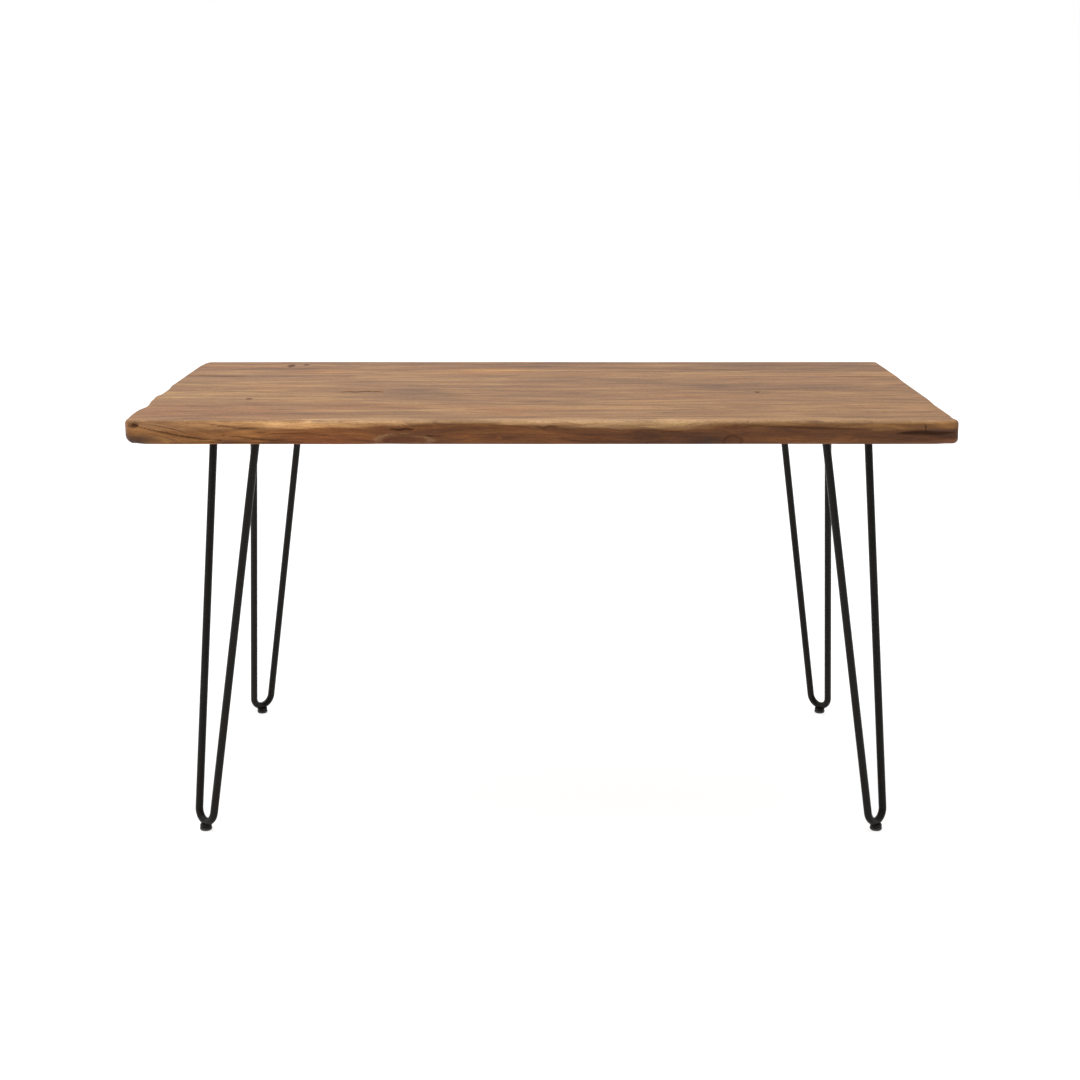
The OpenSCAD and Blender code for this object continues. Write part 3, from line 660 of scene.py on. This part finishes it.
def board_side(loop_x, loop_y, front, rear):
    """A board's sides as rings of points from its lower to its upper face, and their checks' painted shadow.
    """
    drop, inset = upper_ease(loop_x, loop_y)
    radius = lower_ease(loop_x)
    # Each ring's share of the upper ease, how far in the lower ease sets it, and its height.
    rings = [(0.0, radius * (1 - math.sin(a)), TOP_LOW + radius * (1 - math.cos(a)))
             for a in np.linspace(0, math.pi / 2, LOWER_RINGS)]
    rings += [(0.0, 0.0, TOP_LOW + radius + t * (TOP_HIGH - drop - TOP_LOW - radius))
              for t in np.linspace(0, 1, 2 + (FRONT_WALL_RINGS if front else WALL_RINGS))[1:-1]]
    rings += [(1 - math.cos(a), 0.0, TOP_HIGH - drop * (1 - math.sin(a)))
              for a in np.linspace(0, math.pi / 2, UPPER_RINGS)]
    # The table's own sides are hewn inwards. The sides along a seam stay plain.
    hewn_side = abs(loop_x) > LENGTH / 2 - 0.1
    hewn_side |= front & (loop_y < loop_y.min() + 0.1) | rear & (loop_y > loop_y.max() - 0.1)
    out_x, out_y = on_top_plan(loop_x, loop_y, 0.0, front, rear)
    in_x, in_y = on_top_plan(loop_x, loop_y, inset, front, rear)
    run = np.maximum(np.hypot(in_x - out_x, in_y - out_y), 1e-6)
    inward_x, inward_y = hewn_side * (in_x - out_x) / run, hewn_side * (in_y - out_y) / run
    lifted = 0.2 * (1 + lumps(loop_x, loop_y, 0, (85, 85, 1), 39)) * hewn_side
    side = np.zeros((len(rings), len(loop_x), 3))
    side_shadow_in_checks = np.zeros(side.shape[:2])
    for k, (share, lower_in, z) in enumerate(rings):
        x, y = on_top_plan(loop_x, loop_y, share * inset + lower_in, front, rear)
        z = z + lifted * (TOP_HIGH - z) / (TOP_HIGH - TOP_LOW)
        hewn = 0.35 * (1 + lumps(x, y, z, (60, 60, 15), 41)) + 0.12 * (1 + lumps(x, y, z, (17, 17, 7), 43))
        hewn = hewn * ease(share, 1.0, 0.3)
        if front:
            facing = ease(y, FRONT_FACE + 20, FRONT_FACE + 12)
            # The front's checks are sunk in, and the shadow in them is painted dark.
            sunk, shadow_in_checks = check_depth(x, z, FRONT_CHECKS)
            hewn = hewn + sunk * facing
            for at_x, at_z, long, tall, depth in EDGE_BITES:
                gap = np.hypot((x - at_x) / long, (z - at_z) / tall) + 0.25 * lumps(x, 0, z, (5, 1, 4), 47)
                hewn = hewn + depth * ease(gap, 1.15, 0.45) * facing
            side_shadow_in_checks[k] = shadow_in_checks * facing
        x = x + inward_x * hewn
        y = y + inward_y * hewn
        side[k] = np.stack([x, y, z - share * planed_hollows(x, y)], axis=-1)
    return side, side_shadow_in_checks


def pocket(centre, rim, turns, first):
    """The points, numbered from first, and the faces of an insert's blind pocket up from its rim.

    rim numbers the points of the lower face round the pocket, and turns holds the angle of each.
    """
    points = [(centre[0] + POCKET_R * math.cos(a), centre[1] + POCKET_R * math.sin(a), z)
              for z in (TOP_LOW, TOP_LOW + POCKET_DEEP) for a in turns]
    points.append((centre[0], centre[1], TOP_LOW + POCKET_DEEP))
    count = len(turns)
    mouth, floor, middle = first, first + count, first + 2 * count
    faces = []
    for k in range(count):
        after = (k + 1) % count
        faces.append((rim[after], rim[k], mouth + k, mouth + after))
        faces.append((mouth + after, mouth + k, floor + k, floor + after))
        faces.append((floor + after, floor + k, middle))
    return points, faces


def face_blocks(upper_ids, lower_ids, covered):
    """The faces of a board's upper and lower face, whose blocks over a pocket stay open below."""
    faces = []
    for i, j in np.ndindex(covered.shape):
        block = ((i, j), (i + 1, j), (i + 1, j + 1), (i, j + 1))
        faces.append([upper_ids[place] for place in block])
        if not covered[i, j]:
            faces.append([lower_ids[block[k]] for k in (0, 3, 2, 1)])
    return faces


def wood_piece(board_name, points, faces, material, attributes):
    """A board's mesh with the attributes that its material reads, in place of its solid."""
    mesh = new_mesh(board_name + "_wood", points, [], faces)
    mesh.materials.append(material)
    mesh.polygons.foreach_set("use_smooth", [True] * len(mesh.polygons))
    for key, values in attributes.items():
        kind, field = ("FLOAT_VECTOR", "vector") if values.shape[1] == 3 else ("FLOAT_COLOR", "color")
        mesh.attributes.new(key, kind, "POINT").data.foreach_set(field, values.astype(np.float32).ravel())
    mesh.validate()
    mesh.update()
    placed(board_name + "_wood", mesh, "table", board_name)


def board(index, tones, pith):
    """One board of the top, with its eased edges, checks, knots and the pockets for the inserts."""
    name = BOARDS[index]
    front, rear = index == 0, index == len(BOARDS) - 1
    low, high = SEAMS[index], SEAMS[index + 1]
    xs, ys = board_lines(low, high, front)
    across, deep = len(xs), len(ys)
    edge = tuple(np.transpose(border(0, across - 1, 0, deep - 1)))
    side, side_shadow_in_checks = board_side(xs[edge[0]], ys[edge[1]], front, rear)
    grid_x, grid_y = np.meshgrid(xs, ys, indexing="ij")
    top_x, top_y = on_top_plan(grid_x, grid_y, upper_ease(grid_x, grid_y)[1], front, rear)
    # The top's checks are sunk in, and the shadow in them is painted dark.
    sunk, top_shadow_in_checks = check_depth(top_x, top_y, TOP_CHECKS)
    for at_x, at_y, long, wide, darkest in TOP_KNOTS:
        sunk = sunk + 0.8 * bell(top_x - at_x, top_y - at_y, long, wide)
    top_z = TOP_HIGH - planed_hollows(top_x, top_y) - sunk
    low_x, low_y = on_top_plan(grid_x, grid_y, lower_ease(grid_x), front, rear)
    side[-1, :, 2] = top_z[edge]
    side_shadow_in_checks[-1] = np.maximum(side_shadow_in_checks[-1], top_shadow_in_checks[edge])

    # Points: the rings, the inner points of the upper and of the lower face, and then the pockets'.
    points = [side, np.stack([top_x, top_y, top_z], -1)[1:-1, 1:-1],
              np.stack([low_x, low_y, np.full_like(low_x, TOP_LOW)], -1)[1:-1, 1:-1]]
    points = [part.reshape(-1, 3) for part in points]
    ring_ids = np.arange(side_shadow_in_checks.size).reshape(side_shadow_in_checks.shape)
    inner = np.arange((across - 2) * (deep - 2)).reshape(across - 2, deep - 2)
    upper_ids, lower_ids = np.zeros((2, across, deep), int)
    upper_ids[1:-1, 1:-1] = inner + ring_ids.size
    lower_ids[1:-1, 1:-1] = inner + ring_ids.size + inner.size
    upper_ids[edge], lower_ids[edge] = ring_ids[-1], ring_ids[0]
    faces = []
    for below, above in zip(ring_ids, ring_ids[1:]):
        faces += zip(below, np.roll(below, -1), np.roll(above, -1), above)
    covered = np.zeros((across - 1, deep - 1), bool)
    for centre in pocket_places():
        if not low < centre[1] < high:
            continue
        i0, j0 = (np.searchsorted(v, at - POCKET_CLEAR) - 1 for v, at in zip((xs, ys), centre))
        i1, j1 = (np.searchsorted(v, at + POCKET_CLEAR) for v, at in zip((xs, ys), centre))
        covered[i0:i1, j0:j1] = True
        rim = border(i0, i1, j0, j1)
        turns = [math.atan2(low_y[place] - centre[1], low_x[place] - centre[0]) for place in rim]
        new_points, new_faces = pocket(centre, [lower_ids[place] for place in rim], turns,
                                       sum(len(part) for part in points))
        points.append(np.array(new_points))
        faces += new_faces
    faces += face_blocks(upper_ids, lower_ids, covered)
    points = np.concatenate(points)
    shadow_in_checks = np.concatenate([side_shadow_in_checks.ravel(), top_shadow_in_checks[1:-1, 1:-1].ravel()])
    shadow_in_checks = np.pad(shadow_in_checks, (0, len(points) - len(shadow_in_checks)))

    # The lower face's points over a pocket are in no face, and go.
    used = np.zeros(len(points), bool)
    used[[n for face in faces for n in face]] = True
    renumber = np.cumsum(used) - 1
    faces = [tuple(int(renumber[n]) for n in face) for face in faces]
    points, shadow_in_checks = points[used], shadow_in_checks[used]
    grain, knot, stain, sap_and_edge_highlight = wood_attributes(*points.T, pith, 100 + index, front)
    tone = np.ones((len(points), 4))
    tone[:, :3] = wood_tone(*points.T, front)
    marks = np.stack([shadow_in_checks, knot, stain, sap_and_edge_highlight], axis=-1)
    wood_piece(name, points, faces, oiled_acacia("oiled_acacia_" + name, index + 1.0, tones),
               {"grain": grain, "marks": marks, "tone": tone})


# The legs' sizes, in millimetres, as the solids have them.
FOOT_X, FOOT_Y = 604.0, 342.0
ROD_R, BEND_R, ROD_SPREAD, LEG_LEAN = 7.0, 22.7, 125.0, 94.0
ROD_BASE_Z, ROD_TOP_Z = 16.35, TOP_LOW - 4.0
BOLT_PLACES = ((-94.0, 36.0), (-94.0, -36.0), (-38.0, 0.0))
POCKET_R, POCKET_DEEP = 5.05, 19.0
HOLE_R, HOLE_DEEP, HOLE_MIDDLE = 3.0, 14.5, 12.7
WASHER_T, HEAD_H, HEAD_R, FLAT_R = 1.6, 3.3, 5.25, 3.1
PAD_R, PAD_H, PAD_ROUND, CUP_LOW, CUP_ROUND = 11.0, 5.4, 3.4, 5.7, 2.6
# Those of the finer parts: half the width of the lower face's opening round a pocket, the weld beads, where
# the studs' threads start, and how many steps the bar's path takes on each straight and round the bend.
POCKET_CLEAR = 8.5
BEAD_R, BEAD_OFF, BEAD_STEPS = 2.6, 0.5, 72
THREAD_START = 8.2
STRAIGHT_STEPS, BEND_STEPS = 29, 36
LEG_TILT = math.atan(LEG_LEAN / (ROD_TOP_Z - ROD_BASE_Z))
LEG_SLOPE = math.hypot(LEG_LEAN, ROD_TOP_Z - ROD_BASE_Z)
BEND_TO_END = math.hypot(ROD_SPREAD / 2, LEG_SLOPE - BEND_R)
ROD_LENGTH = math.sqrt(BEND_TO_END ** 2 - BEND_R ** 2)
ROD_SPLAY = math.atan(ROD_SPREAD / 2 / (LEG_SLOPE - BEND_R)) - math.asin(BEND_R / BEND_TO_END)


def at_corner(corner, points):
    """Points of a leg's own frame, with x out towards the corner, moved to that corner of the table."""
    sx, sy = CORNERS[corner]
    points = np.asarray(points, float)
    c, s = sx * math.sqrt(0.5), sy * math.sqrt(0.5)
    x, y = points[..., 0], points[..., 1]
    return np.stack([c * x - s * y + sx * FOOT_X, s * x + c * y + sy * FOOT_Y, points[..., 2]], axis=-1)


def pocket_places():
    """The middles of all the insert pockets."""
    local = np.array([(x, y, 0.0) for x, y in BOLT_PLACES])
    return [point for corner in CORNERS for point in at_corner(corner, local)]


def rod_path():
    """The bent bar's centre line in the leg's own frame, from one upper end round the bend to the other."""
    down = [(-BEND_R * math.cos(ROD_SPLAY) - t * ROD_LENGTH * math.sin(ROD_SPLAY),
             BEND_R * (1 - math.sin(ROD_SPLAY)) + t * ROD_LENGTH * math.cos(ROD_SPLAY))
            for t in np.linspace(1, 0, STRAIGHT_STEPS + 1)[:-1]]
    bend = [(BEND_R * math.cos(a), BEND_R * (1 + math.sin(a)))
            for a in np.linspace(ROD_SPLAY - math.pi, -ROD_SPLAY, BEND_STEPS + 1)]
    flat = down + bend + [(-v, w) for v, w in reversed(down)]
    return np.array([(-w * math.sin(LEG_TILT), v, ROD_BASE_Z + w * math.cos(LEG_TILT)) for v, w in flat])


# Helpers for turned and cut parts
def turned(outline):
    """Points and faces of a closed outline of (radius, height) turned about the vertical axis.

    Where a place has a third number, it is one of a hexagon, and its radius is half the width across flats.
    """
    sides = 48
    turns = np.arange(sides) * 2 * math.pi / sides
    points, rings = [], []
    for radius, height, *flats in outline:
        if radius < 1e-6:
            rings.append([len(points)] * sides)
            points.append((0.0, 0.0, height))
            continue
        reach = np.full(sides, float(radius))
        if flats:
            reach = radius / np.cos(turns % (math.pi / 3) - math.pi / 6)
        rings.append([len(points) + k for k in range(sides)])
        points += [(r * math.cos(a), r * math.sin(a), height) for r, a in zip(reach, turns)]
    if outline[0][0] > 1e-6:
        rings.append(rings[0])
    faces = []
    for low, high in zip(rings, rings[1:]):
        for k in range(sides):
            after = (k + 1) % sides
            face = dict.fromkeys((low[k], low[after], high[after], high[k]))
            if len(face) > 2:
                faces.append(tuple(face))
    return points, faces


def rounded(outline, radius):
    """An outline whose corners are rounded, but for those on the axis."""
    soft = []
    for k, corner in enumerate(outline):
        if corner[0] < 1e-6:
            soft.append(corner)
            continue
        here = np.array(corner[:2], float)
        ends = []
        for other in (outline[k - 1], outline[(k + 1) % len(outline)]):
            way = np.array(other[:2], float) - here
            ends.append(here + way * min(radius / math.hypot(*way), 0.45))
        for t in (0.0, 0.33, 0.67, 1.0):
            at = (1 - t) ** 2 * ends[0] + 2 * t * (1 - t) * here + t * t * ends[1]
            soft.append((float(at[0]), float(at[1])) + tuple(corner[2:]))
    return soft


def shade(mesh):
    """Shades a mesh smooth, but for its level faces and its sharp edges."""
    sharp = math.radians(38)
    form = bmesh.new()
    form.from_mesh(mesh)
    for face in form.faces:
        face.smooth = abs(face.normal.z) < 0.999
    for edge in form.edges:
        edge.smooth = len(edge.link_faces) == 2 and edge.calc_face_angle() < sharp
    form.to_mesh(mesh)
    form.free()


def softened(name, made_name, width, finish, body):
    """A copy of a solid with its sharp edges rounded, which stands for it."""
    form = bmesh.new()
    form.from_mesh(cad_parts[name].data)
    bmesh.ops.remove_doubles(form, verts=form.verts, dist=0.002 * MM)
    bmesh.ops.dissolve_limit(form, angle_limit=math.radians(1), verts=form.verts, edges=form.edges)
    sharp = [edge for edge in form.edges if len(edge.link_faces) == 2
             and edge.calc_face_angle() > math.radians(40)]
    bmesh.ops.bevel(form, geom=sharp, offset=width * MM, segments=3, profile=0.5, affect="EDGES",
                    clamp_overlap=True)
    mesh = bpy.data.meshes.new(made_name)
    form.to_mesh(mesh)
    form.free()
    shade(mesh)
    mesh.materials.clear()
    mesh.materials.append(finish)
    placed(made_name, mesh, body, name)


# Helpers for Geometry Nodes
def new_tree(name, sizes):
    """A Geometry Nodes tree with named float or whole-number inputs, and its input and output nodes."""
    tree = bpy.data.node_groups.new(name, "GeometryNodeTree")
    tree.interface.new_socket("Geometry", in_out="INPUT", socket_type="NodeSocketGeometry")
    for size, value in sizes.items():
        kind = "NodeSocketInt" if isinstance(value, int) else "NodeSocketFloat"
        tree.interface.new_socket(size, in_out="INPUT", socket_type=kind).default_value = value
    tree.interface.new_socket("Geometry", in_out="OUTPUT", socket_type="NodeSocketGeometry")
    return tree, tree.nodes.new("NodeGroupInput").outputs, tree.nodes.new("NodeGroupOutput").inputs


def finish_tree(tree, form, finish, result):
    """Ends a tree: its instances are made real and get their material."""
    form = add(tree, "GeometryNodeRealizeInstances", {"Geometry": form})
    form = add(tree, "GeometryNodeSetMaterial", {"Geometry": form, "Material": finish})
    tree.links.new(form, result["Geometry"])
    return tree


def swept(tree, given, radius, sides):
    """A closed round bar along the edges that the tree is given."""
    path = add(tree, "GeometryNodeMeshToCurve", {"Mesh": given["Geometry"]})
    ring = add(tree, "GeometryNodeCurvePrimitiveCircle", {"Resolution": sides, "Radius": radius})
    return add(tree, "GeometryNodeCurveToMesh", {"Curve": path, "Profile Curve": ring, "Fill Caps": True})


def moved(tree, form, x, y, z):
    """A form moved to a place."""
    place = add(tree, "CombineXYZ", {0: x, 1: y, 2: z})
    return add(tree, "GeometryNodeTransform", {"Geometry": form, "Translation": place})


def grown(name, tree, points, edges, faces, sizes, body, solid):
    """The tree's result on a base mesh in millimetres, as one plain mesh that rides on its body."""
    seed = new_object(name + "_base", new_mesh(name + "_base", points, edges, faces))
    modifier = seed.modifiers.new("grow", "NODES")
    modifier.node_group = tree
    for socket in tree.interface.items_tree:
        if socket.in_out == "INPUT" and socket.name in sizes:
            modifier[socket.identifier] = sizes[socket.name]
    graph = bpy.context.evaluated_depsgraph_get()
    mesh = bpy.data.meshes.new_from_object(seed.evaluated_get(graph), depsgraph=graph)
    seed.modifiers.remove(modifier)
    bpy.data.objects.remove(seed)
    mesh.name = name
    shade(mesh)
    placed(name, mesh, body, solid)


# The trees, whose sizes are in metres, as a modifier's are
def bar_tree(finish):
    """Sweeps a round bar along the edges it is given, closes its ends and drills it upwards for the stud."""
    tree, given, result = new_tree("bent_bar", {
        "Radius": 0.006, "Sides": 24, "Hole X": 0.0, "Hole Y": 0.0, "Hole Middle": 0.01,
        "Hole Depth": 0.02, "Hole Radius": 0.003})
    bar = swept(tree, given, given["Radius"], given["Sides"])
    drill = add(tree, "GeometryNodeMeshCylinder", {
        "Vertices": 32, "Radius": given["Hole Radius"], "Depth": given["Hole Depth"]})
    drill = moved(tree, drill, given["Hole X"], given["Hole Y"], given["Hole Middle"])
    bar = add(tree, "GeometryNodeMeshBoolean", {"Mesh 1": bar, "Mesh 2": drill}, solver="EXACT")
    return finish_tree(tree, bar, finish, result)


def cup_tree(finish, blank):
    """Sets a turned cup under the bend and mills it out to fit round the bar whose path it is given."""
    tree, given, result = new_tree("fitted_cup", {"Bar Radius": 0.007, "X": 0.0, "Y": 0.0, "Seat": 0.0057})
    bar = swept(tree, given, given["Bar Radius"], 48)
    cup = add(tree, "GeometryNodeObjectInfo", {"Object": blank}, out="Geometry")
    cup = moved(tree, cup, given["X"], given["Y"], given["Seat"])
    cup = add(tree, "GeometryNodeMeshBoolean", {"Mesh 1": cup, "Mesh 2": bar}, solver="EXACT")
    return finish_tree(tree, cup, finish, result)


def bead_tree(finish):
    """Lays a weld bead along each loop of edges it is given, rippled as the pool froze drop by drop."""
    tree, given, result = new_tree("weld_bead", {
        "Radius": 0.0025, "Ripple": 0.0022, "Depth": 0.09, "Step": 0.0003})
    path = add(tree, "GeometryNodeMeshToCurve", {"Mesh": given["Geometry"]})
    path = add(tree, "GeometryNodeResampleCurve", {"Curve": path, "Length": given["Step"]}, mode="LENGTH")
    ring = add(tree, "GeometryNodeCurvePrimitiveCircle", {"Resolution": 16, "Radius": given["Radius"]})
    run = add(tree, "GeometryNodeSplineParameter", out="Length")
    turn = add(tree, "Math", {0: run, 1: given["Ripple"]}, operation="DIVIDE")
    turn = add(tree, "Math", {0: turn, 1: 2 * math.pi}, operation="MULTIPLY")
    turn = add(tree, "Math", {0: turn}, operation="SINE")
    swell = add(tree, "Math", {0: turn, 1: given["Depth"], 2: 1.0}, operation="MULTIPLY_ADD")
    bead = add(tree, "GeometryNodeCurveToMesh", {"Curve": path, "Profile Curve": ring, "Scale": swell})
    return finish_tree(tree, bead, finish, result)


def thread_tree(finish):
    """Winds a screw thread round the core it is given."""
    tree, given, result = new_tree("screw_thread", {
        "Pitch": 0.001, "Turns": 11.0, "Middle Radius": 0.0026, "Crest": 0.00036, "X": 0.0, "Y": 0.0,
        "Start": 0.008})
    rise = add(tree, "Math", {0: given["Pitch"], 1: given["Turns"]}, operation="MULTIPLY")
    helix = add(tree, "GeometryNodeCurveSpiral", {
        "Resolution": 32, "Rotations": given["Turns"], "Start Radius": given["Middle Radius"],
        "End Radius": given["Middle Radius"], "Height": rise})
    helix = add(tree, "GeometryNodeSetCurveNormal", {"Curve": helix}, mode="Z_UP")
    ridge = add(tree, "GeometryNodeCurvePrimitiveCircle", {"Resolution": 3, "Radius": given["Crest"]})
    thread = add(tree, "GeometryNodeCurveToMesh", {
        "Curve": helix, "Profile Curve": ridge, "Fill Caps": True})
    thread = moved(tree, thread, given["X"], given["Y"], given["Start"])
    both = tree.nodes.new("GeometryNodeJoinGeometry")
    for form in (given["Geometry"], thread):
        tree.links.new(form, both.inputs[0])
    return finish_tree(tree, both.outputs[0], finish, result)


def fastener_tree(finish, blank):
    """Sets a fastener on each point it is given, each turned as its own tightening left it."""
    tree, given, result = new_tree("fasteners", {"Seed": 1, "Most Turn": 6.28})
    spin = add(tree, "FunctionNodeRandomValue", {3: given["Most Turn"], 8: given["Seed"]}, out=1)
    turn = add(tree, "CombineXYZ", {2: spin})
    form = add(tree, "GeometryNodeObjectInfo", {"Object": blank}, out="Geometry")
    row = add(tree, "GeometryNodeInstanceOnPoints", {
        "Points": given["Geometry"], "Instance": form, "Rotation": turn})
    return finish_tree(tree, row, finish, result)


def turned_blank(name, outline):
    """A turned part at the origin, for a tree to set in its places."""
    points, faces = turned(outline)
    return new_object(name, new_mesh(name, points, [], faces))


# The table
photo_camera()
studio()
studio_floor()

# Satin black polyester powder coat: near-black, with the orange peel that the oven leaves.
powder = finish_with_noise("powder_coated_steel", 35.0, ("#0b0907", "#13100d"), (0.36, 0.48),
                           ((0.25, 0.01, 1), (1.2, 0.03, 1)), IOR=1.5, Specular_IOR_Level=0.12)
# Bright zinc plate: grey metal with a faint blue and straw bloom over fine turning lines.
zinc = finish_with_noise("zinc_plated_steel", 9.0, ("#b9bcc4", "#c9cac9", "#cfc9b8"), (0.24, 0.4),
                         ((0.2, 0.01, 25),), Metallic=1.0)
# Free-cutting brass, turned: warm yellow metal, browned in patches, with tool rings.
brass = finish_with_noise("turned_brass", 6.0, ("#a8812f", "#d4ac57"), (0.42, 0.26),
                          ((0.15, 0.01, 30),), Metallic=1.0)
# Glass-filled nylon, injection moulded: dull charcoal with a spark-eroded grain.
nylon = finish_with_noise("moulded_black_nylon", 7.0, ("#191918", "#242322"), (0.5, 0.66),
                          ((0.35, 0.03, 1),), IOR=1.53)

# Each board's tones from its darkest to its palest streaks, and its pith as (y, z, slope along the board).
TONES = (("#785531", "#92693e", "#a3794b", "#bf955b"), ("#755231", "#8f663e", "#a07749", "#bc925b"),
         ("#725131", "#8d653e", "#9d7448", "#bb915c"), ("#785533", "#936940", "#a57b4c", "#c0965e"),
         ("#70502f", "#8a623c", "#9c7247", "#b78d59"))
PITHS = ((-150.0, 600.0, 0.010), (120.0, 590.0, -0.012), (-180.0, 580.0, 0.012), (440.0, 600.0, -0.010),
         (90.0, 590.0, 0.012))
for index, (tones, pith) in enumerate(zip(TONES, PITHS)):
    board(index, tones, pith)

# Outlines of the turned parts, in millimetres: radius and height from each part's seat, as in the solids.
bolt_outline = [(0.0, -HEAD_H + 2.0), (1.2, -HEAD_H + 2.0, 6), (2.0, -HEAD_H + 1.8, 6),
                (2.0, -HEAD_H + 0.15, 6), (2.15, -HEAD_H, 6), (FLAT_R - 0.1, -HEAD_H)]
bolt_outline += [(FLAT_R + (HEAD_R - FLAT_R) * math.sin(a), -HEAD_H + (HEAD_H - 0.6) * (1 - math.cos(a)))
                 for a in np.linspace(0, math.pi / 2, 9)]
bolt_outline += [(HEAD_R, -0.15), (HEAD_R - 0.12, 0.0), (2.95, 0.0), (2.95, 17.2), (2.2, 18.0), (0.0, 18.0)]
washer_outline = rounded([(3.3, 0.0), (6.0, 0.0), (6.0, WASHER_T), (3.3, WASHER_T)], 0.3)
insert_outline = rounded([(3.0, 0.0), (5.0, 0.0), (5.0, 15.0), (3.0, 15.0)], 0.35)
pad_outline = [(0.0, 0.3), (6.2, 0.3), (6.6, 0.0)]
pad_outline += [(PAD_R - PAD_ROUND * (1 - math.sin(a)), PAD_ROUND * (1 - math.cos(a)))
                for a in np.linspace(0, math.pi / 2, 11)]
pad_outline += [(PAD_R - 1 + math.cos(a), PAD_H - 1 + math.sin(a)) for a in np.linspace(0, math.pi / 2, 7)]
pad_outline += [(3.2, PAD_H), (3.0, PAD_H - 0.2), (3.0, 3.6), (6.3, 3.6), (6.3, 1.4), (0.0, 1.4)]
stud_outline = [(0.0, 1.6), (5.7, 1.6), (6.0, 1.9), (6.0, 3.1), (5.7, 3.4), (2.95, 3.4), (2.95, 5.55),
                (4.7, 5.55, 6), (5.0, 5.85, 6), (5.0, 7.55, 6), (4.7, 7.85, 6), (2.42, 7.85), (2.42, 19.3),
                (2.0, 19.75), (0.0, 19.75)]

# The cup's rim is turned round at the top, and its pocket below takes the stud's hexagon.
cup_outline = [(7.27, 2.5), (7.27, 0.5), (7.7, 0.0), (9.9, 0.0), (10.3, 0.2), (10.5, 0.6), (10.5, 4.0)]
cup_outline += [(10.5 - CUP_ROUND * (1 - math.cos(a)), 4.05 + CUP_ROUND * math.sin(a))
                for a in np.linspace(0.2, math.pi / 2, 7)]
cup_outline += [(3.3, 6.65), (3.3, 2.5)]

# The fasteners: name, outline, finish, slot and the height of their seat.
FASTENERS = (("plate_bolts", bolt_outline, zinc, "zinc_steel", ROD_TOP_Z - WASHER_T),
             ("washers", washer_outline, zinc, "zinc_steel", ROD_TOP_Z - WASHER_T),
             ("thread_inserts", insert_outline, brass, "brass", TOP_LOW))
blanks = {kind: turned_blank(kind, outline) for kind, outline, *rest in FASTENERS}
blanks["cup"] = turned_blank("cup", cup_outline)
sets = {kind: fastener_tree(finish, blanks[kind]) for kind, outline, finish, *rest in FASTENERS}
bars, cups = bar_tree(powder), cup_tree(powder, blanks["cup"])
beads, threads = bead_tree(powder), thread_tree(zinc)


def chain(points):
    """The edges that join points one after another."""
    return [(k, k + 1) for k in range(len(points) - 1)]


# Each part of a leg, in place of its solid
def bent_rod(corner, foot, path):
    """The leg's bar, drilled at its bend for the stud."""
    grown(corner + "_bent_rod", bars, path, chain(path), [],
          {"Radius": ROD_R * MM, "Sides": 32, "Hole X": foot[0] * MM, "Hole Y": foot[1] * MM,
           "Hole Middle": HOLE_MIDDLE * MM, "Hole Depth": HOLE_DEEP * MM, "Hole Radius": HOLE_R * MM},
          "table", corner + "_leg_rod")


def welds(corner):
    """A bead round each end of the bar, a little down and out from where it meets the plate."""
    reach = ROD_R + BEAD_OFF
    turns = np.arange(BEAD_STEPS) * 2 * math.pi / BEAD_STEPS
    loops = [(-LEG_LEAN + reach * math.cos(a), side * ROD_SPREAD / 2 + reach * math.sin(a),
              ROD_TOP_Z - BEAD_OFF) for side in (-1, 1) for a in turns]
    edges = [(first + k, first + (k + 1) % BEAD_STEPS)
             for first in (0, BEAD_STEPS) for k in range(BEAD_STEPS)]
    grown(corner + "_welds", beads, at_corner(corner, loops), edges, [], {"Radius": BEAD_R * MM},
          "table", corner + "_weld_beads")


def foot_cup(corner, foot, path):
    """The cup under the bend, milled out with 0.05 mm to spare round the bar."""
    straight = STRAIGHT_STEPS - 9
    bend = path[straight:-straight]
    grown(corner + "_cup", cups, bend, chain(bend), [],
          {"Bar Radius": (ROD_R + 0.05) * MM, "X": foot[0] * MM, "Y": foot[1] * MM, "Seat": CUP_LOW * MM},
          "table", corner + "_foot_cup")


def fastener_sets(corner, seed):
    """The bolts, washers and inserts of the leg's plate."""
    for kind, outline, finish, slot, seat in FASTENERS:
        seats = at_corner(corner, [(x, y, seat) for x, y in BOLT_PLACES])
        grown(corner + "_" + kind + "_set", sets[kind], seats, [], [], {"Seed": seed}, "table",
              corner + "_" + kind)


def levelling_foot(corner, foot):
    """The stud with its thread and hexagon, and the pad that it turns in."""
    points, faces = turned(stud_outline)
    grown(corner + "_threaded_stud", threads, np.array(points) + foot, [], faces,
          {"X": foot[0] * MM, "Y": foot[1] * MM, "Start": THREAD_START * MM},
          corner + "_stud", corner + "_glide_stud")
    points, faces = turned(pad_outline)
    mesh = new_mesh(corner + "_moulded_pad", np.array(points) + foot, [], faces)
    mesh.materials.append(nylon)
    shade(mesh)
    placed(corner + "_moulded_pad", mesh, corner + "_pad", corner + "_glide_pad")


for corner, (sx, sy) in CORNERS.items():
    foot = np.array([sx * FOOT_X, sy * FOOT_Y, 0.0])
    path = at_corner(corner, rod_path())
    bent_rod(corner, foot, path)
    welds(corner)
    softened(corner + "_top_plate", corner + "_plate", 0.5, powder, "table")
    foot_cup(corner, foot, path)
    fastener_sets(corner, 3 + sx + 2 * sy)
    levelling_foot(corner, foot)
for blank in blanks.values():
    bpy.data.objects.remove(blank)
